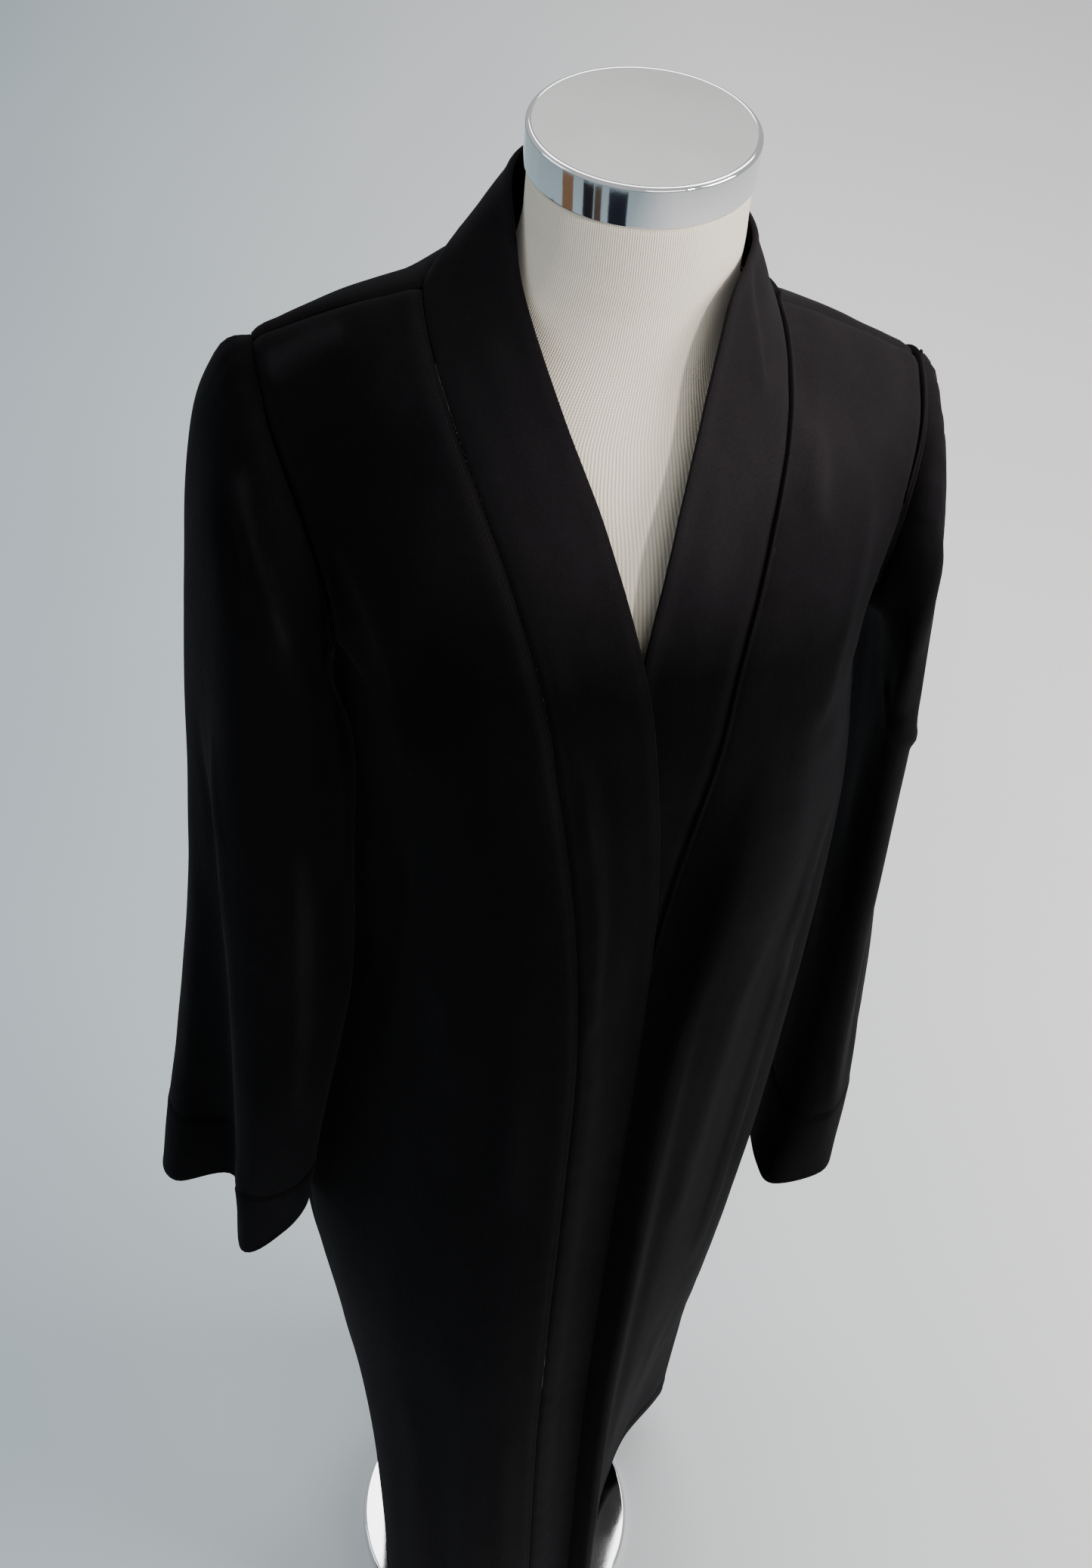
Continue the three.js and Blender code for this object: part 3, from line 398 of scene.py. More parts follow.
def cloth(name, net_, out, size=5.0, wrap=False, wall=1.7, seams="", free="", relief=None, hem=0.0, gap=0.3):
    """A wall of velvet on a net. seams and free list its edges: t op, b ottom,
    s tart and e nd column. Seams roll in, free edges are turned and rounded."""
    n_u, n_v = (net_.nr - 1), (10 if wrap else net_.nc - 1)
    us, vs = lines_for(net_, n_u, n_v, size, wrap)
    # closer lines beside each sewn or turned edge
    def closer(x, lo, hi, step):
        x = list(x)
        if lo: x += [0.12 * step, 0.3 * step, 0.6 * step]
        if hi: x += [x_end - 0.12 * step for x_end in (max(x),)] + [max(x) - 0.3 * step, max(x) - 0.6 * step]
        return np.array(sorted(set(np.round(x, 6))))
    us = closer(us, "t" in seams + free, "b" in seams + free, us[1] - us[0])
    if not wrap:
        vs = closer(vs, "s" in seams + free, "e" in seams + free, vs[1] - vs[0])
    U, V = np.meshgrid(us, vs, indexing="ij")
    P = net_.at(U, V)
    au, av = arc_u(P), arc_v(P)
    # leave the seam gap
    if "t" in seams:
        du = unit(P[1] - P[0]); P[0] += du * gap
    if not wrap:
        if "s" in seams:
            P[:, 0] += unit(P[:, 1] - P[:, 0]) * gap
        if "e" in seams:
            P[:, -1] -= unit(P[:, -1] - P[:, -2]) * gap
    N = normals(P, wrap) * out
    D = np.zeros(U.shape)
    far = 1e9 * np.ones(U.shape)
    ds = {"t": au, "b": au[-1:] - au, "s": av if not wrap else far, "e": (av[:, -1:] - av) if not wrap else far}
    for k in seams:
        D += -1.5 * np.exp(-(ds[k] / 3.2) ** 1.5) + 0.55 * np.exp(-((ds[k] - 8.5) / 6.0) ** 2)
        along = (av if k in "tb" else au)
        D += 0.20 * np.exp(-(ds[k] / 13.0) ** 2) * np.sin(along / 6.7 + 3.0 * np.sin(along / 31.0)) * (0.5 + 0.5 * np.sin(along / 57.0)) * smooth01(ds[k] / 4.0)
    if hem and "b" in free:
        d = ds["b"]
        along = av
        D += 0.75 * (1 - smooth01((d - hem + 1.5) / 3.0)) - 0.7 * np.exp(-((d - hem) / 2.2) ** 2)
        D += 0.3 * np.sin(along / 6.1 + 1.5 * np.sin(along / 19.0)) * np.exp(-((d - hem) / 10.0) ** 2)
    # worn: a painted sheen highlight on the high fold ridges and a few mm in from the side edges, carried to the
    # velvet's colour
    worn = np.zeros(U.shape)
    if relief is not None:
        R = relief(P, U, V, N, au, av, ds)
        D = D + R
        worn = smooth01((R - 1.1) / 2.6)
    for k in seams + free:
        if k in "se":
            worn = worn + 0.35 * np.exp(-((ds[k] - 4.0) / 2.6) ** 2)
    P = P + N * D[..., None]
    N = normals(P, wrap) * out
    # the wall's thickness, a little more along the free edges
    T = np.full(U.shape, wall)
    for k in free:
        T = T + 1.0 * np.exp(-(ds[k] / 2.6) ** 2) * 0.6
    Q = P - N * T[..., None]
    nu, nv = P.shape[:2]
    uv = np.stack([av / 1000, au / 1000], -1)
    pts, uvs = [P.reshape(-1, 3), Q.reshape(-1, 3)], [uv.reshape(-1, 2), uv.reshape(-1, 2)]
    idx = np.arange(nu * nv).reshape(nu, nv)
    def quads(a, flip):
        if wrap:
            a = np.concatenate([a, a[:, :1]], 1)
        q = np.stack([a[:-1, :-1], a[1:, :-1], a[1:, 1:], a[:-1, 1:]], -1).reshape(-1, 4)
        return q[:, ::-1] if flip else q
    flip = out < 0
    faces = [quads(idx, flip), quads(idx + nu * nv, not flip)]
    # rounded rims: two more lines between the outer and the inner face
    base = [2 * nu * nv]
    def rim(line, outward, flip_, closed):
        a, b = P.reshape(-1, 3)[line], Q.reshape(-1, 3)[line]
        t = np.linalg.norm(a - b, axis=1, keepdims=True)
        m1 = a * 0.8 + b * 0.2 + outward * t * 0.32
        m2 = a * 0.2 + b * 0.8 + outward * t * 0.32
        i1 = base[0] + np.arange(len(line)); i2 = i1 + len(line); base[0] += 2 * len(line)
        pts.extend([m1, m2]); uvs.extend([uv.reshape(-1, 2)[line]] * 2)
        rows = [line, i1, i2, line + nu * nv]
        if closed:
            rows = [np.append(r, r[0]) for r in rows]
        for x, y in zip(rows[:-1], rows[1:]):
            q = np.stack([x[:-1], x[1:], y[1:], y[:-1]], -1)
            faces.append(q[:, ::-1] if flip_ else q)
    rim(idx[0], unit(P[0] - P[1]), flip, wrap)
    rim(idx[-1], unit(P[-1] - P[-2]), not flip, wrap)
    if not wrap:
        # the corner points of these rims are shared with the two above
        top1, top2 = 2 * nu * nv, 2 * nu * nv + nv
        bot1, bot2 = 2 * nu * nv + 2 * nv, 2 * nu * nv + 3 * nv
        for j, col_out, f in ((0, unit(P[:, 0] - P[:, 1]), not flip), (nv - 1, unit(P[:, -1] - P[:, -2]), flip)):
            a, b = P[:, j], Q[:, j]
            t = np.linalg.norm(a - b, axis=1, keepdims=True)
            m1, m2 = a * 0.8 + b * 0.2 + col_out * t * 0.32, a * 0.2 + b * 0.8 + col_out * t * 0.32
            i1 = base[0] + np.arange(nu - 2); i2 = i1 + nu - 2; base[0] += 2 * (nu - 2)
            pts.extend([m1[1:-1], m2[1:-1]]); uvs.extend([uv[1:-1, j]] * 2)
            l1 = np.concatenate([[top1 + j], i1, [bot1 + j]]); l2 = np.concatenate([[top2 + j], i2, [bot2 + j]])
            rows = [idx[:, j], l1, l2, idx[:, j] + nu * nv]
            for x, y in zip(rows[:-1], rows[1:]):
                q = np.stack([x[:-1], x[1:], y[1:], y[:-1]], -1)
                faces.append(q[:, ::-1] if f else q)
    ob = make(name, np.concatenate(pts), np.concatenate(faces), np.concatenate(uvs))
    # the painted sheen highlight, kept on the outer face's points
    ridge_sheen_paint = ob.data.attributes.new("worn", "FLOAT", "POINT")
    w = np.zeros(len(ob.data.vertices), np.float32); w[:nu * nv] = np.clip(worn, 0, 1).ravel()
    ridge_sheen_paint.data.foreach_set("value", w)
    return ob, P, N, ds


def lathe(name, profile, seg, centre=(0.0, 0.0), cap_uv=True):
    prof = np.array(profile, float)
    t = np.arange(seg) / seg * 2 * math.pi
    ring = prof[1:-1]
    pts = np.zeros((len(ring), seg, 3))
    pts[..., 0] = centre[0] + ring[:, :1] * np.cos(t); pts[..., 1] = centre[1] + ring[:, :1] * np.sin(t); pts[..., 2] = ring[:, 1:]
    n = len(ring)
    flat = pts.reshape(-1, 3)
    flat = np.concatenate([flat, [[centre[0], centre[1], prof[0, 1]], [centre[0], centre[1], prof[-1, 1]]]])
    faces = []
    for i in range(n - 1):
        for j in range(seg):
            k = (j + 1) % seg
            faces.append([i * seg + j, i * seg + k, (i + 1) * seg + k, (i + 1) * seg + j])
    for j in range(seg):
        k = (j + 1) % seg
        faces.append([n * seg, k, j])
        faces.append([n * seg + 1, (n - 1) * seg + j, (n - 1) * seg + k])
    return make(name, flat, faces)


def rounded(pts, r=2.0, n=6):
    """A profile with its inner corners rounded."""
    out = [pts[0]]
    for a, b, c in zip(pts[:-2], pts[1:-1], pts[2:]):
        a, b, c = map(np.array, (a, b, c))
        l1, l2 = np.linalg.norm(a - b), np.linalg.norm(c - b)
        q = min(r, l1 * 0.45, l2 * 0.45)
        p0, p1 = b + (a - b) / l1 * q, b + (c - b) / l2 * q
        for k in range(n + 1):
            s = k / n
            out.append(tuple((1 - s) ** 2 * p0 + 2 * s * (1 - s) * b + s * s * p1))
    out.append(pts[-1])
    return out


# ---------------------------------------------------------------- materials
def nodes_of(name):
    m = bpy.data.materials.new(name)
    m.use_nodes = True
    t = m.node_tree
    return m, t, t.nodes, t.links, t.nodes["Principled BSDF"]


def mix_colour(t, fac, a, b):
    n = t.nodes.new("ShaderNodeMix"); n.data_type = "RGBA"
    n.inputs[6].default_value = (*a, 1); n.inputs[7].default_value = (*b, 1)
    t.links.new(fac, n.inputs[0])
    return n.outputs[2]


def math_node(t, op, a, b=None, clamp=False):
    n = t.nodes.new("ShaderNodeMath"); n.operation = op; n.use_clamp = clamp
    for i, x in enumerate((a, b)):
        if x is None: continue
        if isinstance(x, (int, float)): n.inputs[i].default_value = x
        else: t.links.new(x, n.inputs[i])
    return n.outputs[0]


def noise(t, vec, scale, detail=3.0, rough=0.55, lac=2.0):
    n = t.nodes.new("ShaderNodeTexNoise")
    n.inputs["Scale"].default_value = scale; n.inputs["Detail"].default_value = detail
    n.inputs["Roughness"].default_value = rough
    t.links.new(vec, n.inputs["Vector"])
    return n.outputs["Fac"]


def mapped(t, vec, scale):
    n = t.nodes.new("ShaderNodeMapping"); n.inputs["Scale"].default_value = scale
    t.links.new(vec, n.inputs["Vector"])
    return n.outputs["Vector"]


def ramp(t, fac, stops):
    n = t.nodes.new("ShaderNodeValToRGB")
    e = n.color_ramp.elements
    while len(e) < len(stops): e.new(0.5)
    for k, (p, c) in zip(e, stops):
        k.position = p; k.color = (c, c, c, 1) if isinstance(c, float) else (*c, 1)
    t.links.new(fac, n.inputs["Fac"])
    return n.outputs["Color"]


def bump(t, height, strength, distance, normal=None):
    n = t.nodes.new("ShaderNodeBump")
    n.inputs["Strength"].default_value = strength; n.inputs["Distance"].default_value = distance
    t.links.new(height, n.inputs["Height"])
    if normal is not None: t.links.new(normal, n.inputs["Normal"])
    return n.outputs["Normal"]


def velvet_material(name, tint=(1.0, 1.0, 1.0), nap=1.0):
    m, t, ns, ln, p = nodes_of(name)
    co = ns.new("ShaderNodeTexCoord").outputs["Object"]
    pile = noise(t, co, 1500.0, 2.0, 0.6)
    tufts = noise(t, mapped(t, co, (1.0, 1.0, 0.35)), 420.0, 3.0, 0.6)
    marks = noise(t, mapped(t, co, (1.0, 1.0, 0.4)), 17.0, 4.0, 0.6)
    broad = noise(t, mapped(t, co, (1.0, 1.0, 0.5)), 4.5, 3.0, 0.5)
    shade = math_node(t, "ADD", math_node(t, "MULTIPLY", marks, 0.5), math_node(t, "MULTIPLY", broad, 0.5))
    shade = ramp(t, shade, [(0.36, 0.0), (0.62, 1.0)])
    lo = tuple(c * k for c, k in zip(tint, (0.0008, 0.00075, 0.00095))); hi = tuple(c * k for c, k in zip(tint, (0.0027, 0.0025, 0.0031)))
    deep = mix_colour(t, shade, lo, hi)
    # painted light: the base is painted paler over the shoulders and the top of the chest on the +x side, where the
    # beam falls, and a little towards the hem, as painted sheen where the cloth is seen at a grazing angle
    sep = ns.new("ShaderNodeSeparateXYZ"); ln.new(co, sep.inputs[0])
    lift = math_node(t, "MULTIPLY_ADD", noise(t, mapped(t, co, (1.0, 1.0, 0.8)), 8.0, 4.0, 0.6), 0.10)
    lift.node.inputs[2].default_value = -0.05
    z = math_node(t, "ADD", sep.outputs[2], lift)
    def span(x, zero, one):
        o = math_node(t, "MULTIPLY_ADD", x, 1.0 / (one - zero), True)
        o.node.inputs[2].default_value = -zero / (one - zero)
        return o
    # high is the painted light of the beam, low the painted sheen towards the hem; brushed carries both
    high = math_node(t, "MULTIPLY", span(z, 1.345, 1.43), span(sep.outputs[0], -0.125, 0.035))
    low = math_node(t, "MULTIPLY", span(z, 0.72, 0.05), 0.42)
    brushed = math_node(t, "ADD", high, low, True)
    base = ns.new("ShaderNodeMix"); base.data_type = "RGBA"
    # and it is painted paler still along the high fold ridges and beside the sewn edges, a painted sheen highlight
    ridge_sheen_paint = ns.new("ShaderNodeAttribute"); ridge_sheen_paint.attribute_name = "worn"
    ridge_sheen_paint = math_node(t, "MULTIPLY", ridge_sheen_paint.outputs["Fac"], math_node(t, "ADD", math_node(t, "MULTIPLY", marks, 0.62), 0.08))
    brushed = math_node(t, "MULTIPLY", brushed, math_node(t, "ADD", math_node(t, "MULTIPLY", marks, 0.6), 0.52))
    ln.new(math_node(t, "ADD", brushed, ridge_sheen_paint, True), base.inputs[0])
    # the dark velvet, and the paler colour of the painted light and painted sheen highlights
    ln.new(deep, base.inputs[6]); base.inputs[7].default_value = (*(c * k for c, k in zip(tint, (0.0140, 0.0122, 0.0136))), 1)
    base = base.outputs[2]
    grain = ns.new("ShaderNodeMix"); grain.data_type = "RGBA"; grain.blend_type = "MULTIPLY"; grain.inputs[0].default_value = 0.55
    ln.new(base, grain.inputs[6]); ln.new(ramp(t, pile, [(0.3, 0.35), (0.7, 1.0)]), grain.inputs[7])
    ln.new(grain.outputs[2], p.inputs["Base Color"])
    ln.new(ramp(t, tufts, [(0.2, 0.82), (0.8, 0.98)]), p.inputs["Roughness"])
    n1 = bump(t, marks, 0.10 * nap, 0.004)
    n2 = bump(t, tufts, 0.22, 0.0006, n1)
    n3 = bump(t, pile, 0.30, 0.00025, n2)
    ln.new(n3, p.inputs["Normal"])
    p.inputs["Specular IOR Level"].default_value = 0.03
    p.inputs["Sheen Weight"].default_value = SHEEN
    p.inputs["Sheen Roughness"].default_value = SHEEN_ROUGH
    p.inputs["Sheen Tint"].default_value = (*SHEEN_TINT, 1)
    return m


def jersey_material():
    m, t, ns, ln, p = nodes_of("rib_jersey")
    uv = ns.new("ShaderNodeUVMap"); uv.uv_map = "cut"
    sep = ns.new("ShaderNodeSeparateXYZ"); ln.new(uv.outputs["UV"], sep.inputs[0])
    co = ns.new("ShaderNodeTexCoord").outputs["Object"]
    wob = math_node(t, "MULTIPLY", noise(t, co, 9.0, 2.0), 0.0035)
    x = math_node(t, "MULTIPLY", math_node(t, "ADD", sep.outputs[0], wob), 2 * math.pi * 300)
    rib = math_node(t, "MULTIPLY_ADD", math_node(t, "SINE", x), 0.5)
    rib.node.inputs[2].default_value = 0.5
    y = math_node(t, "MULTIPLY", sep.outputs[1], 2 * math.pi * 900)
    course = math_node(t, "MULTIPLY_ADD", math_node(t, "SINE", math_node(t, "ADD", y, math_node(t, "MULTIPLY", rib, 2.6))), 0.5)
    course.node.inputs[2].default_value = 0.5
    knit = math_node(t, "ADD", math_node(t, "MULTIPLY", rib, 0.72), math_node(t, "MULTIPLY", course, 0.28))
    broad = noise(t, co, 7.0, 3.0)
    fuzz = noise(t, co, 900.0, 3.0, 0.7)
    c = mix_colour(t, ramp(t, knit, [(0.15, 0.0), (0.75, 1.0)]), (0.60, 0.535, 0.425), (0.80, 0.745, 0.64))
    g = ns.new("ShaderNodeMix"); g.data_type = "RGBA"; g.blend_type = "MULTIPLY"; g.inputs[0].default_value = 0.35
    ln.new(c, g.inputs[6]); ln.new(ramp(t, broad, [(0.3, (0.90, 0.86, 0.80)), (0.7, (1.0, 1.0, 1.0))]), g.inputs[7])
    ln.new(g.outputs[2], p.inputs["Base Color"])
    ln.new(ramp(t, fuzz, [(0.2, 0.85), (0.8, 1.0)]), p.inputs["Roughness"])
    ripple = noise(t, mapped(t, co, (6.0, 6.0, 60.0)), 1.0, 2.0)
    n0 = bump(t, ripple, 0.25, 0.003)
    n1 = bump(t, knit, 0.55, 0.0005, n0)
    ln.new(bump(t, fuzz, 0.25, 0.0002, n1), p.inputs["Normal"])
    p.inputs["Specular IOR Level"].default_value = 0.2
    p.inputs["Sheen Weight"].default_value = 0.15
    return m


def metal_material(name, colour, lo, hi, brushed=False):
    m, t, ns, ln, p = nodes_of(name)
    co = ns.new("ShaderNodeTexCoord").outputs["Object"]
    smear = noise(t, co, 26.0, 4.0, 0.6)
    fine = noise(t, mapped(t, co, (1.0, 1.0, 12.0)) if brushed else co, 700.0, 3.0, 0.6)
    mixr = math_node(t, "ADD", math_node(t, "MULTIPLY", smear, 0.7), math_node(t, "MULTIPLY", fine, 0.3))
    ln.new(ramp(t, mixr, [(0.3, lo), (0.7, hi)]), p.inputs["Roughness"])
    ln.new(mix_colour(t, smear, tuple(c * 0.93 for c in colour), colour), p.inputs["Base Color"])
    ln.new(bump(t, fine, 0.06, 0.0001), p.inputs["Normal"])
    p.inputs["Metallic"].default_value = 1.0
    return m


SHEEN, SHEEN_ROUGH, SHEEN_TINT = 0.019, 0.40, (0.95, 0.91, 1.0)
velvet = velvet_material("velvet")
velvet_inside = velvet
thread = velvet_material("thread", (2.6, 2.4, 2.4))
jersey = jersey_material()
chrome = metal_material("chrome", (0.83, 0.84, 0.85), 0.03, 0.09)
satin = metal_material("satin_chrome", (0.27, 0.27, 0.268), 0.36, 0.48)


def dress(ob, mat, slot, *replaced):
    ob.data.materials.clear(); ob.data.materials.append(mat)
    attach(ob, "root")
    if replaced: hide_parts(*replaced)
    return ob


# ---------------------------------------------------------------- the folds
def ridge_set(P, lines):
    D = np.zeros(P.shape[:-1])
    for h, w, pts in lines:
        D += crease(P, pts, h, w)
    return D


# height mm, half width mm, the line it runs along
RIDGES_FRONT_R = [
    (3.9, 6.0, [(-128, -96, 1262), (-133, -72, 1175), (-139, -42, 1080), (-147, -25, 960), (-160, -20, 835), (-168, -22, 700)]),
    (-3.0, 7.6, [(-120, -108, 1240), (-120, -96, 1150), (-124, -80, 1060), (-130, -60, 940), (-142, -52, 800)]),
    (3.0, 10.2, [(-135, -8, 1484), (-160, -8, 1472), (-184, -8, 1457)]),
    (2.4, 8.5, [(-158, -52, 1418), (-140, -84, 1372), (-122, -104, 1320), (-108, -118, 1262)]),
    (3.0, 7.6, [(-78, -138, 640), (-70, -142, 480), (-62, -144, 300), (-58, -144, 90)]),
    (-2.7, 8.5, [(-96, -126, 620), (-88, -132, 460), (-82, -134, 280), (-78, -136, 90)]),
    (2.7, 7.6, [(-112, -106, 560), (-106, -112, 400), (-100, -118, 240), (-98, -120, 90)]),
    (2.1, 6.8, [(-40, -148, 560), (-33, -149, 380), (-25, -149, 220), (-22, -149, 90)]),
    (2.4, 8.5, [(-60, -141, 1150), (-52, -143, 1000), (-50, -143, 860)]),
    (2.2, 7.6, [(-100, -122, 1120), (-92, -124, 1010), (-90, -122, 880)]),
]
RIDGES_FRONT_L = [
    (3.9, 5.5, [(50, -140, 1196), (49, -139, 1126), (48, -138, 1001), (48, -137, 827), (49, -136, 650), (51, -135, 442), (58, -134, 250), (64, -133, 90)]),
    (-3.3, 6.0, [(62, -135, 1180), (60, -132, 1040), (60, -129, 860), (61, -126, 640), (64, -122, 420), (72, -112, 200)]),
    (4.5, 5.1, [(136, -84, 1216), (125, -100, 1172), (122, -101, 1110), (125, -94, 1020), (124, -91, 938), (123, -90, 872), (119, -86, 760), (112, -80, 620)]),
    (-3.9, 5.5, [(143, -74, 1200), (136, -84, 1120), (136, -82, 1020), (134, -80, 930), (132, -78, 850), (126, -74, 740)]),
    (3.3, 7.6, [(82, -58, 1455), (86, -72, 1440), (88, -90, 1405)]),
    (-3.6, 5.1, [(84, -23, 1471), (82, -43, 1463), (76, -64, 1453), (74, -77, 1441), (66, -96, 1415)]),
    (2.2, 8.5, [(122, -60, 1420), (118, -84, 1380), (108, -104, 1338), (96, -120, 1285)]),
    (2.7, 7.6, [(92, -118, 1160), (84, -124, 1050), (80, -122, 900), (76, -120, 760)]),
    (2.4, 7.6, [(98, -90, 560), (104, -70, 380), (108, -52, 200), (112, -42, 90)]),
    (-2.4, 7.6, [(112, -70, 600), (122, -48, 400), (132, -26, 220), (140, -12, 90)]),
    (2.7, 6.8, [(140, -46, 520), (146, -18, 340), (152, 6, 180), (156, 18, 90)]),
]
RIDGES_BACK = [
    (3.2, 14, [(-8, 105, 1180), (-6, 106, 1080), (-3, 122, 880), (2, 144, 640), (10, 156, 380), (26, 168, 90)]),
    (-3.0, 13, [(-34, 102, 1140), (-32, 104, 1020), (-34, 120, 840), (-30, 142, 600), (-16, 152, 340), (-2, 160, 90)]),
    (2.6, 12, [(-66, 96, 1120), (-68, 100, 980), (-76, 118, 780), (-74, 134, 560), (-58, 142, 320), (-46, 146, 90)]),
    (-2.6, 12, [(24, 102, 1130), (26, 106, 980), (36, 126, 760), (46, 146, 520), (58, 162, 280), (64, 172, 90)]),
    (2.8, 12, [(56, 94, 1120), (60, 98, 980), (74, 120, 760), (90, 138, 520), (104, 158, 280), (112, 168, 90)]),
    (2.2, 10, [(-112, 82, 1060), (-120, 92, 860), (-128, 108, 660), (-116, 112, 440), (-100, 112, 220), (-92, 112, 90)]),
    (-2.0, 10, [(104, 80, 1040), (114, 92, 840), (128, 106, 640), (146, 118, 400), (160, 146, 180), (166, 150, 90)]),
    (2.4, 10, [(134, 56, 1020), (144, 66, 820), (150, 80, 620), (166, 96, 400), (182, 112, 220), (184, 116, 90)]),
    (2.2, 12, [(-60, 80, 1460), (-9, 92, 1450), (44, 80, 1450)]),
    (-2.0, 11, [(-84, 92, 1418), (-9, 104, 1398), (70, 92, 1404)]),
    (2.2, 10, [(-150, 76, 1392), (-120, 92, 1330), (-100, 98, 1240), (-92, 92, 1150)]),
    (2.0, 10, [(144, 76, 1372), (116, 92, 1322), (94, 96, 1240), (80, 90, 1150)]),
    (-1.8, 9, [(-134, 66, 1270), (-118, 78, 1200), (-100, 86, 1120)]),
    (-1.8, 9, [(126, 62, 1270), (116, 74, 1200), (100, 82, 1120)]),
]
RIDGES_SLEEVE_R = [
    (3.9, 5.5, [(-221, -58, 1290), (-221, -72, 1189), (-222, -70, 1045), (-226, -62, 854), (-230, -58, 716)]),
    (-3.9, 6.0, [(-228, -34, 1270), (-229, -40, 1160), (-232, -34, 1010), (-236, -22, 860), (-240, -6, 720)]),
    (3.6, 5.1, [(-199, -28, 1430), (-194, -47, 1414), (-189, -66, 1388), (-184, -78, 1360), (-178, -82, 1330)]),
    (-2.7, 6.0, [(-206, -40, 1410), (-202, -62, 1385), (-196, -78, 1350), (-188, -88, 1310)]),
    (3.0, 7.6, [(-180, -90, 1250), (-178, -94, 1160), (-180, -92, 1040), (-190, -80, 890)]),
    (3.6, 6.8, [(-216, 84, 1260), (-220, 88, 1150), (-228, 82, 1010), (-244, 72, 850), (-256, 64, 720)]),
    (-3.3, 6.8, [(-196, 90, 1240), (-200, 90, 1120), (-208, 86, 980), (-222, 76, 820)]),
    (2.7, 7.6, [(-170, 40, 1255), (-168, 30, 1160), (-168, 30, 1030), (-180, 30, 880)]),
    (3.3, 6.0, [(-160, -56, 1262), (-170, -84, 1240), (-190, -90, 1225)]),
    (2.7, 6.0, [(-168, 62, 1240), (-188, 88, 1215), (-208, 86, 1205)]),
]
RIDGES_SLEEVE_L = [
    (3.9, 6.8, [(176, -66, 1300), (182, -56, 1190), (194, -48, 1050), (210, -38, 890), (224, -34, 740)]),
    (-3.3, 6.8, [(186, -44, 1290), (196, -38, 1170), (208, -26, 1020), (222, -18, 880), (232, -20, 740)]),
    (3.3, 6.0, [(168, -60, 1380), (166, -72, 1340), (166, -74, 1290), (170, -62, 1230)]),
    (3.6, 6.8, [(190, 96, 1230), (202, 100, 1100), (216, 102, 960), (234, 92, 820), (242, 86, 700)]),
    (-3.0, 6.8, [(206, 74, 1230), (216, 84, 1090), (228, 78, 930), (244, 66, 780)]),
    (3.0, 7.6, [(207, 20, 1240), (218, 20, 1100), (234, 16, 930), (250, 16, 760)]),
    (3.0, 6.0, [(168, -44, 1250), (180, -60, 1218), (194, -52, 1206)]),
]
RIDGES_BAND_R = [
    (1.9, 5, [(-42, -142, 1318), (-31, -144, 1284), (-20, -146, 1220), (-16, -148, 1167), (-14, -149, 1087), (-18, -151, 1043)]),
    (-1.2, 5, [(-34, -142, 1322), (-22, -144, 1280), (-11, -145, 1220), (-6, -146, 1160), (-5, -146, 1080)]),
    (1.0, 9, [(-80, -30, 1505), (-70, -66, 1478), (-50, -98, 1422)]),
]
RIDGES_BAND_L = [
    (1.8, 4.5, [(48, -30, 1527), (47, -40, 1519), (51, -48, 1505), (54, -56, 1490), (54, -68, 1472)]),
    (-1.6, 4.5, [(56, -26, 1520), (57, -38, 1508), (60, -50, 1492), (62, -60, 1472)]),
    (1.4, 6, [(24, -84, 1466), (26, -98, 1432), (20, -116, 1380)]),
]


def soft(seed, size, height, stretch=(1, 1, 0.35)):
    return lambda P, ds: waves(P, seed, size, height, stretch) * smooth01(np.minimum.reduce([ds[k] for k in "tbse"]) / 14.0)


def body_relief(lines, seed, flare=1.0):
    def f(P, U, V, N, au, av, ds):
        D = ridge_set(P, lines)
        low = smooth01((1050 - P[..., 2]) / 500.0)
        D += waves(P, seed, 75, 0.9, (1, 1, 0.16)) * (0.35 + 0.65 * low) * flare
        D += waves(P, seed + 1, 34, 0.28, (1, 1, 0.4))
        # cloth dragged a little towards the armhole and across the bust
        high = smooth01((P[..., 2] - 1180) / 120.0) * smooth01((1480 - P[..., 2]) / 60.0)
        D += waves(P, seed + 2, 46, 0.5, (0.8, 0.8, 0.9)) * high
        edge = np.minimum.reduce([ds[k] for k in "tbse"])
        return D * smooth01(edge / 10.0 + 0.12)
    return f


def sleeve_relief(lines, seed):
    def f(P, U, V, N, au, av, ds):
        D = ridge_set(P, lines)
        D += waves(P, seed, 60, 0.9, (1, 1, 0.2))
        D += waves(P, seed + 1, 30, 0.3, (1, 1, 0.5))
        # a gathered hint of ease round the sleeve head
        head = np.exp(-((au - 12) / 14.0) ** 2)
        D += 0.7 * head * np.sin(V * 2 * math.pi * 3.3 + 1.3 * np.sin(V * 2.1 + seed))
        return D * smooth01(np.minimum(ds["t"], ds["b"]) / 9.0 + 0.15)
    return f


def band_relief(lines, seed):
    def f(P, U, V, N, au, av, ds):
        D = ridge_set(P, lines)
        D += waves(P, seed, 60, 0.45, (1, 1, 0.4)) + waves(P, seed + 1, 24, 0.18, (1, 1, 1))
        # slight roll of the turned outer edge
        D += 0.8 * np.exp(-((ds["e"] - 3.0) / 3.6) ** 2)
        return D * smooth01(ds["t"] / 6.0 + 0.1)
    return f


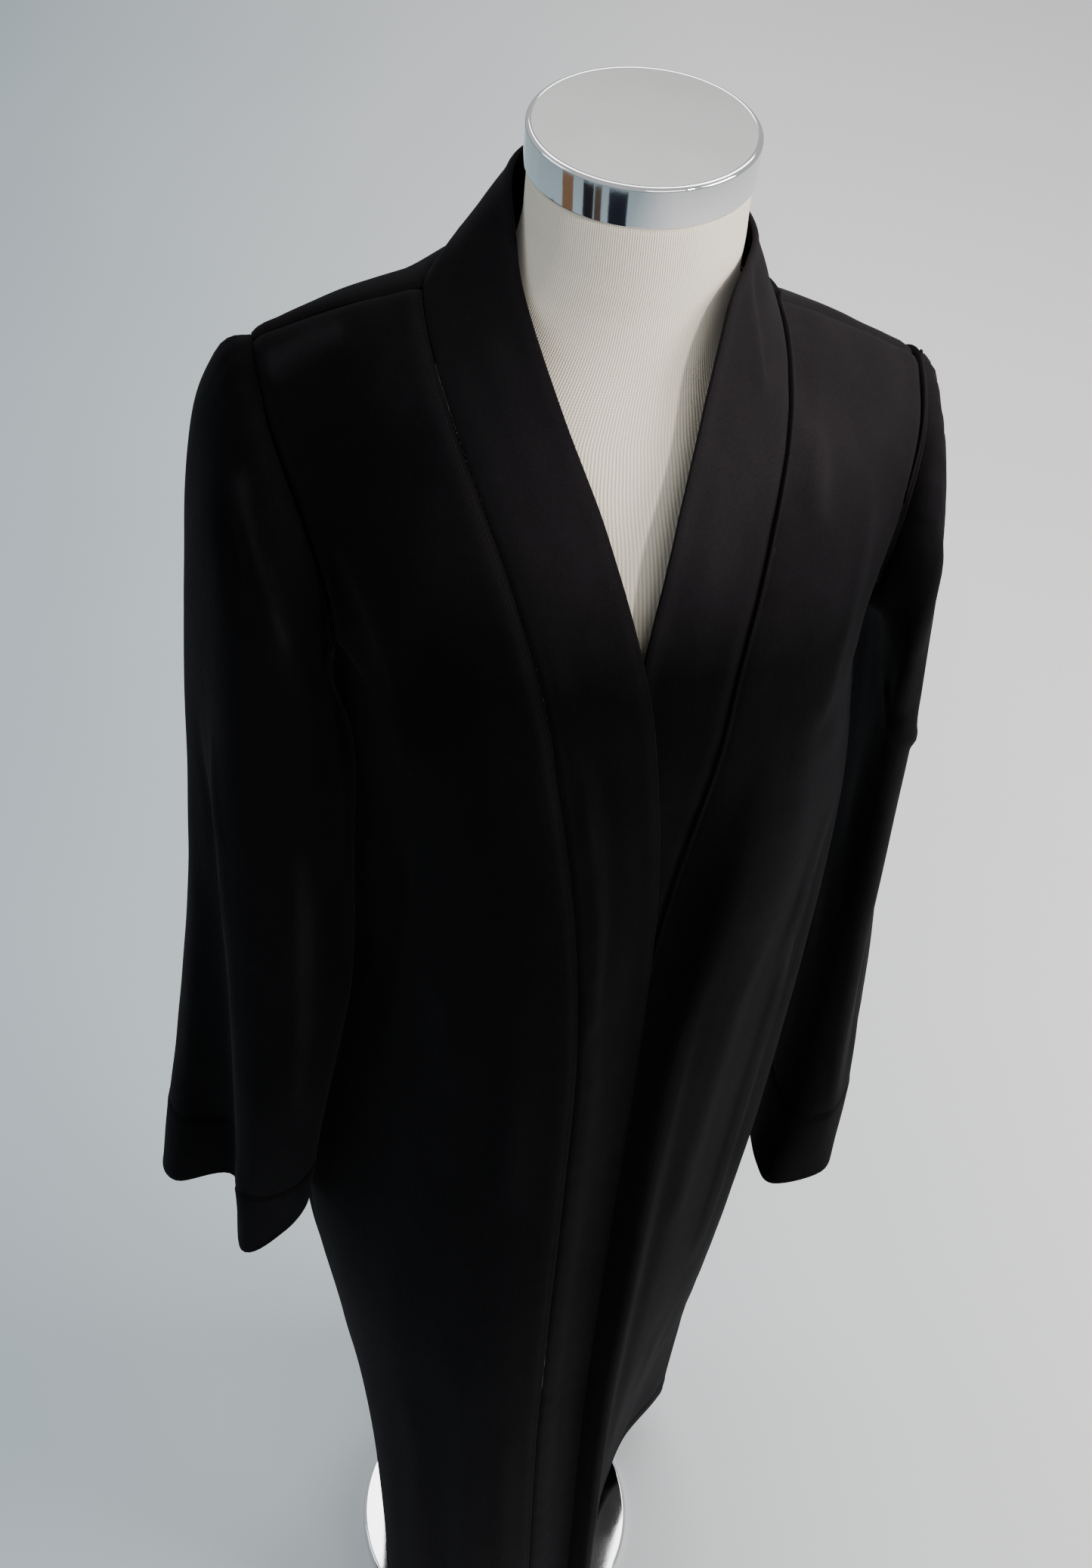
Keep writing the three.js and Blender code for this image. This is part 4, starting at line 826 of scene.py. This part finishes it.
SIZE = 5.0
front_right, FR_P, FR_N, _ = cloth("velvet_right_front", front_r, -1, SIZE, seams="tse", free="b", relief=body_relief(RIDGES_FRONT_R, 11), hem=28)
front_left, FL_P, FL_N, _ = cloth("velvet_left_front", front_l, -1, SIZE, seams="tse", free="b", relief=body_relief(RIDGES_FRONT_L, 23), hem=28)
back_panel, BK_P, BK_N, _ = cloth("velvet_back", back, -1, SIZE * 1.15, seams="tse", free="b", relief=body_relief(RIDGES_BACK, 37), hem=28)
band_right, BR_P, BR_N, _ = cloth("velvet_band_right", band_r, 1, SIZE * 0.72, seams="ts", free="eb", relief=band_relief(RIDGES_BAND_R, 51), gap=0.35)
band_left, BL_P, BL_N, _ = cloth("velvet_band_left", band_l, -1, SIZE * 0.72, seams="ts", free="eb", relief=band_relief(RIDGES_BAND_L, 67), gap=0.35)
sleeve_right, SR_P, SR_N, _ = cloth("velvet_sleeve_right", sleeve_r, -1, SIZE, wrap=True, seams="t", free="b", relief=sleeve_relief(RIDGES_SLEEVE_R, 83), hem=95, gap=0.5)
sleeve_left, SL_P, SL_N, _ = cloth("velvet_sleeve_left", sleeve_l, 1, SIZE, wrap=True, seams="t", free="b", relief=sleeve_relief(RIDGES_SLEEVE_L, 97), hem=95, gap=0.5)
for ob, node in ((front_right, "right_front"), (front_left, "left_front"), (back_panel, "back"), (band_right, "band_right"),
                 (band_left, "band_left"), (sleeve_right, "sleeve_right"), (sleeve_left, "sleeve_left")):
    dress(ob, velvet, "velvet", node)

# the turnings inside each armhole, which close the seam between body and sleeve
def turning(name, body, ring, side):
    """A strip of cloth behind a seam: from under the body's edge to inside the sleeve head."""
    A, B = np.array(body, float), np.array(ring, float)
    def inset(L, by, dx):
        c = L.mean(0)
        d = c - L; d[:, 0] = 0
        out = L + unit(d) * by
        out[:, 0] += dx
        return out
    rows = [inset(A, 6.5, -side * 5.0), inset((A + B) / 2, 6.0, -side * 1.0), inset(B, 8.0, -side * 2.0)]
    n, m = 10, 12
    P = []
    for L in rows:
        line = []
        for i in range(n):
            p0, p1, p2, p3 = L[i - 1], L[i], L[(i + 1) % n], L[(i + 2) % n]
            for k in range(m):
                t = k / m
                line.append(0.5 * (2 * p1 + (p2 - p0) * t + (2 * p0 - 5 * p1 + 4 * p2 - p3) * t * t + (3 * p1 - p0 - 3 * p2 + p3) * t ** 3))
        P.append(line)
    P = np.array(P)
    inner = P.copy()
    c = P.mean((0, 1)); d = c - P; d[..., 0] = 0
    inner = P + unit(d) * 1.1
    pts = np.concatenate([P.reshape(-1, 3), inner.reshape(-1, 3)])
    w = n * m; k = 3 * w
    q = []
    for r in range(2):
        for j in range(w):
            a, b = r * w + j, r * w + (j + 1) % w
            q.append([a, b, b + w, a + w]); q.append([k + a, k + a + w, k + b + w, k + b])
    for j in range(w):
        a, b = j, (j + 1) % w
        q.append([a, k + a, k + b, b])
        a, b = 2 * w + j, 2 * w + (j + 1) % w
        q.append([a, b, k + b, k + a])
    if side > 0: q = [f[::-1] for f in q]
    return make(name, pts, q)


hole_r = [FRONT_R[i][-1] for i in (5, 4, 3, 2, 1, 0)] + [BACK[i][0] for i in (1, 2, 3, 4)]
hole_l = [FRONT_L[i][0] for i in (5, 4, 3, 2, 1, 0)] + [BACK[i][-1] for i in (1, 2, 3, 4)]
dress(turning("armhole_turning_right", hole_r, SLEEVE_R[0], -1), velvet, "velvet")
dress(turning("armhole_turning_left", hole_l, SLEEVE_L[0], 1), velvet, "velvet")

# the turning under the neck seam, inside the collar
def neck_turning():
    P = np.array([FRONT_R[1][0], BACK[0][2], BACK[0][3], BACK[0][4], BACK[0][5], BACK[0][6], FRONT_L[1][-1]], float)
    c = np.array([-8.0, 3.0, 0.0])
    o = P - c; o[:, 2] = 0; o = unit(o)
    up = np.array([0.0, 0.0, 1.0])
    into = np.array([9, 9, 7, 4.5, 7, 9, 9])[:, None]
    def run(L):
        E = np.concatenate([[2 * L[0] - L[1]], L, [2 * L[-1] - L[-2]]])
        out = []
        for i in range(1, len(E) - 2):
            for k in range(12):
                t = k / 12
                p0, p1, p2, p3 = E[i - 1:i + 3]
                out.append(0.5 * (2 * p1 + (p2 - p0) * t + (2 * p0 - 5 * p1 + 4 * p2 - p3) * t * t + (3 * p1 - p0 - 3 * p2 + p3) * t ** 3))
        return np.array(out + [E[-2]])
    rows = [run(P + o * 4 - up * 9), run(P - o * 1.5 - up * 4.5), run(P - o * into + up * 4)]
    back_rows = []
    for L in rows:
        d = L - c; d[:, 2] = 0
        back_rows.append(L - unit(d) * 1.0 - up * 0.4)
    loop = rows + back_rows[::-1]
    n = len(rows[0]); k = len(loop)
    pts = np.concatenate(loop)
    q = []
    for r in range(k):
        for j in range(n - 1):
            a, b = r * n + j, ((r + 1) % k) * n + j
            q.append([a, a + 1, b + 1, b])
    q.append([r * n for r in range(k)]); q.append([r * n + n - 1 for r in range(k)][::-1])
    return make("neck_turning", pts, q)


dress(neck_turning(), velvet, "velvet")

# ---------------------------------------------------------------- dress form
def form_piece():
    tab = np.array(FORM, float)
    # closely spaced levels through the table
    knots = np.concatenate([[0], np.cumsum(np.abs(np.diff(tab[:, 0])) ** 0.75)])
    def at(s):
        i = np.clip(np.searchsorted(knots, s) - 1, 0, len(knots) - 2)
        h = knots[i + 1] - knots[i]; t = (s - knots[i]) / h
        out = []
        for c in range(5):
            y = tab[:, c]; d = np.diff(y) / np.diff(knots)
            m = np.zeros(len(y)); m[1:-1] = np.where(d[:-1] * d[1:] > 0, 2 * d[:-1] * d[1:] / (d[:-1] + d[1:] + 1e-12 * np.sign(d[:-1] + d[1:] + 1e-30)), 0)
            m[0], m[-1] = d[0], d[-1]
            out.append((2 * t ** 3 - 3 * t ** 2 + 1) * y[i] + (t ** 3 - 2 * t ** 2 + t) * h * m[i] + (-2 * t ** 3 + 3 * t ** 2) * y[i + 1] + (t ** 3 - t ** 2) * h * m[i + 1])
        return out
    s = np.concatenate([np.linspace(0, knots[-1], 190)])
    z, cx, a, bf, bb = at(s)
    seg = 192
    t = np.arange(seg + 1) / seg * 2 * math.pi
    rnd = np.interp(z, [1470, 1500], [2.2, 2.0])[:, None]
    sn, cs = np.sin(t)[None], np.cos(t)[None]
    b = np.where(cs > 0, bf[:, None], bb[:, None])
    r = 1 / (np.abs(sn / a[:, None]) ** rnd + np.abs(cs / b) ** rnd) ** (1 / rnd)
    trim = np.interp(z, [1480, 1505], [0.8, 0.0])[:, None]
    r = r - trim
    pts = np.stack([cx[:, None] + r * sn, -r * cs, np.broadcast_to(z[:, None], r.shape)], -1)
    n, k = r.shape
    uv = np.stack([np.broadcast_to(t[None] / (2 * math.pi), r.shape), np.broadcast_to(z[:, None] / 1000, r.shape)], -1).reshape(-1, 2)
    idx = np.arange(n * k).reshape(n, k)
    quads = np.stack([idx[:-1, :-1], idx[1:, :-1], idx[1:, 1:], idx[:-1, 1:]], -1).reshape(-1, 4).tolist()
    flat = pts.reshape(-1, 3)
    extra = [[cx[0], 0, z[0]], [cx[-1], 0, z[-1]]]
    flat = np.concatenate([flat, extra]); uv = np.concatenate([uv, [[0.5, z[0] / 1000], [0.5, z[-1] / 1000]]])
    top, bot = n * k, n * k + 1
    for j in range(k - 1):
        quads.append([top, idx[0, j], idx[0, j + 1]]); quads.append([bot, idx[-1, j + 1], idx[-1, j]])
    return make("form_cover", flat, quads, uv)


form = dress(form_piece(), jersey, "jersey", "form_body")
# weld the cover's closing line, keeping its texture lines apart

bm = bmesh.new(); bm.from_mesh(form.data)
bmesh.ops.remove_doubles(bm, verts=bm.verts, dist=1e-6)
bm.to_mesh(form.data); bm.free()

# the neck cap: a satin lid in a polished band, with a bright rolled edge
def cap_parts():
    r, t, b = 55.0, TOP, TOP - 20.5
    band = lathe("neck_cap_band", rounded([(0, b), (r - 0.6, b), (r, b + 0.6), (r, t - 1.1), (r - 1.4, t - 0.05), (r - 4.2, t - 0.35), (0, t - 0.35)], 1.5, 7), 192)
    lid = lathe("neck_cap_lid", rounded([(0, t - 0.28), (r - 3.4, t - 0.28), (r - 2.4, t - 0.10), (0, t)], 0.5, 4), 160)
    return band, lid


cap_band, cap_lid = cap_parts()
dress(cap_band, chrome, "chrome", "form_neck_cap")
dress(cap_lid, satin, "chrome")
pole = lathe("stand_post", rounded([(0, 8.3), (17.5, 8.3), (17.5, 11.5), (13.0, 14.5), (13.0, 671.7), (0, 671.7)], 1.5, 5), 64)
dress(pole, chrome, "chrome", "form_pole")
foot = lathe("stand_foot", rounded([(0, 0), (136.0, 0), (136.5, 0.8), (136.5, 5.6), (134.2, 7.8), (0, 8.0)], 1.6, 6), 224)
dress(foot, chrome, "chrome", "form_base")


# ---------------------------------------------------------------- stitching
def iso(P, N, d, want, axis):
    """The line on a grid where the distance d has one value."""
    if axis == 0:
        P, N, d = P.transpose(1, 0, 2), N.transpose(1, 0, 2), d.T
    pts, nrm = [], []
    for i in range(P.shape[0]):
        row = d[i]
        o = np.argsort(row)
        if want > row.max(): continue
        pts.append([np.interp(want, row[o], P[i, o, k]) for k in range(3)])
        nrm.append([np.interp(want, row[o], N[i, o, k]) for k in range(3)])
    return np.array(pts), unit(np.array(nrm))


def stitches(name, runs, pitch=3.0, length=2.15, radius=0.26, lift=0.10):
    """Rows of short sewn threads lying on the cloth."""
    pts, faces = [], []
    for line, nrm in runs:
        seg = np.linalg.norm(np.diff(line, axis=0), axis=1)
        run = np.concatenate([[0], np.cumsum(seg)])
        n = int(run[-1] / pitch)
        for i in range(n):
            s0 = (i + 0.15) * pitch; s1 = s0 + length
            if s1 > run[-1]: break
            a = np.array([np.interp(s0, run, line[:, k]) for k in range(3)])
            b = np.array([np.interp(s1, run, line[:, k]) for k in range(3)])
            m = np.array([np.interp((s0 + s1) / 2, run, nrm[:, k]) for k in range(3)]); m /= np.linalg.norm(m)
            t = (b - a) / max(np.linalg.norm(b - a), 1e-6); w = np.cross(t, m)
            k0 = len(pts)
            for f, q, up in ((0.0, 0.35, -0.15), (0.2, 1.0, lift), (0.8, 1.0, lift), (1.0, 0.35, -0.15)):
                c = a + (b - a) * f + m * up
                for ang in range(5):
                    th = ang / 5 * 2 * math.pi
                    pts.append(c + (w * math.cos(th) + m * math.sin(th)) * radius * q)
            for r_ in range(3):
                for ang in range(5):
                    x, y = k0 + r_ * 5 + ang, k0 + r_ * 5 + (ang + 1) % 5
                    faces.append([x, y, y + 5, x + 5])
            faces.append([k0 + j for j in (4, 3, 2, 1, 0)]); faces.append([k0 + 15 + j for j in range(5)])
    return make(name, np.array(pts), faces)


def edge_distance(P, which):
    if which in "se":
        a = arc_v(P)
        return a if which == "s" else a[:, -1:] - a
    a = arc_u(P)
    return a if which == "t" else a[-1:] - a


st_bands = stitches("stitching_bands", [iso(FR_P, FR_N, edge_distance(FR_P, "s"), 2.6, 1), iso(FL_P, FL_N, edge_distance(FL_P, "e"), 2.6, 1)])
st_hem = stitches("stitching_hem", [iso(FR_P, FR_N, edge_distance(FR_P, "b"), 28, 0), iso(FL_P, FL_N, edge_distance(FL_P, "b"), 28, 0), iso(BK_P, BK_N, edge_distance(BK_P, "b"), 28, 0)], pitch=3.4)
def closed(run):
    return np.concatenate([run[0], run[0][:1]]), np.concatenate([run[1], run[1][:1]])
st_cuffs = stitches("stitching_cuffs", [closed(iso(SR_P, SR_N, edge_distance(SR_P, "b"), 95, 0)), closed(iso(SL_P, SL_N, edge_distance(SL_P, "b"), 95, 0))], pitch=3.4)
for ob in (st_bands, st_hem, st_cuffs):
    dress(ob, thread, "velvet")

# ---------------------------------------------------------------- studio
def floor_piece():
    me = bpy.data.meshes.new("floor")
    s = 14.0
    me.from_pydata([(-s, -s, -0.0006), (s, -s, -0.0006), (s, s, -0.0006), (-s, s, -0.0006)], [], [(0, 1, 2, 3)])
    ob = bpy.data.objects.new("floor", me); bpy.context.scene.collection.objects.link(ob)
    m, t, ns, ln, p = nodes_of("pale_floor")
    co = ns.new("ShaderNodeTexCoord").outputs["Object"]
    sep = ns.new("ShaderNodeSeparateXYZ"); ln.new(co, sep.inputs[0])
    # painted light: the floor is painted darker and cooler towards -x and paler towards +x, a painted falloff of the
    # light from the +x side
    painted_falloff = math_node(t, "MULTIPLY_ADD", sep.outputs[0], 0.58)
    painted_falloff.node.inputs[2].default_value = 0.38
    n = math_node(t, "ADD", painted_falloff, math_node(t, "MULTIPLY", noise(t, co, 1.4, 3.0), 0.12), True)
    ln.new(mix_colour(t, n, FLOOR_SHADED_SIDE, FLOOR_LIT_SIDE), p.inputs["Base Color"])
    p.inputs["Roughness"].default_value = 0.95
    p.inputs["Specular IOR Level"].default_value = 0.1
    me.materials.append(m)


# the painted shaded and lit ends of the floor's colour
FLOOR_SHADED_SIDE, FLOOR_LIT_SIDE = (0.36, 0.45, 0.485), (0.87, 0.865, 0.865)
floor_piece()


def area_light(name, loc, target, size, power, colour):
    d = bpy.data.lights.new(name, "AREA"); d.shape = "RECTANGLE"; d.size, d.size_y = size
    d.energy = power; d.color = colour
    ob = bpy.data.objects.new(name, d)
    ob.location = loc
    ob.rotation_euler = (Vector(target) - Vector(loc)).to_track_quat("-Z", "Y").to_euler()
    bpy.context.scene.collection.objects.link(ob)
    return ob


area_light("key", (2.1, -0.9, 2.5), (0.05, 0, 1.25), (1.3, 1.2), 78, (1.0, 0.965, 0.93))
area_light("front", (0.5, -2.4, 2.7), (0, 0, 1.3), (1.6, 1.0), 20, (1.0, 0.98, 0.95))
area_light("top", (0.6, 1.6, 3.4), (0.1, 0.8, 0.6), (2.4, 1.6), 70, (1.0, 0.985, 0.97))
area_light("left", (-2.6, 0.5, 2.2), (0, 0, 1.1), (1.4, 1.8), 16, (0.78, 0.90, 1.0))


# a beam over the shoulders and the top of the chest, as from a high window
beam = bpy.data.lights.new("beam", "SPOT")
beam.energy = 150; beam.color = (1.0, 0.95, 0.92); beam.spot_size = math.radians(17); beam.spot_blend = 0.35; beam.shadow_soft_size = 0.12
beam_ob = bpy.data.objects.new("beam", beam)
beam_ob.location = (1.2, -1.7, 2.5)
beam_ob.rotation_euler = (Vector((0.05, 0.02, 1.475)) - Vector((1.2, -1.7, 2.5))).to_track_quat("-Z", "Y").to_euler()
bpy.context.scene.collection.objects.link(beam_ob)


# dark studio flags low in front, which only the polished metal mirrors
def flag(name, a0, a1, shade):
    """A panel from angle a0 to a1, in degrees from the viewing side, 1.05 m out."""
    c = Vector((-0.259, -0.966, 0)); r = Vector((0.966, -0.259, 0))
    rows = []
    for k in range(5):
        a = math.radians(a0 + (a1 - a0) * k / 4)
        d = (c * math.cos(a) + r * math.sin(a)) * 1.05 + Vector((SHIFT[0] / 1000, SHIFT[1] / 1000, 0))
        rows.append((d, d + Vector((0, 0, 1.05))))
    me = bpy.data.meshes.new(name)
    me.from_pydata([tuple(p) for q in rows for p in q], [], [(2 * k, 2 * k + 2, 2 * k + 3, 2 * k + 1) for k in range(4)])
    ob = bpy.data.objects.new(name, me); bpy.context.scene.collection.objects.link(ob)
    m, t, ns, ln, p = nodes_of(name + "_cloth")
    co = ns.new("ShaderNodeTexCoord").outputs["Object"]
    ln.new(mix_colour(t, noise(t, co, 3.0), tuple(x * 0.7 for x in shade), shade), p.inputs["Base Color"])
    p.inputs["Roughness"].default_value = 0.9; p.inputs["Specular IOR Level"].default_value = 0.1
    me.materials.append(m)
    ob.visible_camera = ob.visible_diffuse = ob.visible_shadow = ob.visible_transmission = ob.visible_volume_scatter = False


flag("flag_a", -76, -63, (0.16, 0.09, 0.05)); flag("flag_b", -52, -41, (0.01, 0.009, 0.012)); flag("flag_c", -40, -33, (0.07, 0.045, 0.035)); flag("flag_d", -26, -8, (0.01, 0.011, 0.02))

world = bpy.data.worlds.new("studio"); bpy.context.scene.world = world
world.use_nodes = True
bg = world.node_tree.nodes["Background"]
bg.inputs["Color"].default_value = (0.84, 0.86, 0.89, 1); bg.inputs["Strength"].default_value = 0.64

cam_data = bpy.data.cameras.new("camera")
cam_data.sensor_fit = "VERTICAL"; cam_data.sensor_height = 36.0; cam_data.sensor_width = 36.0 * 1445 / 2075
cam_data.lens = 45.6966; cam_data.clip_start = 0.05; cam_data.clip_end = 60
camera = bpy.data.objects.new("camera", cam_data)
right = Vector((0.983187, -0.171599, 0.06242)); up = Vector((0.085879, 0.736226, 0.671265)); ahead = Vector((0.161143, 0.654618, -0.738585))
eye = Vector((float(-217.5115 + SHIFT[0]) / 1000, float(-811.764 + SHIFT[1]) / 1000, 2.0479))
rot = Matrix((right, up, -ahead)).transposed().to_4x4()
camera.matrix_world = Matrix.Translation(eye) @ rot
bpy.context.scene.collection.objects.link(camera)
bpy.context.scene.camera = camera
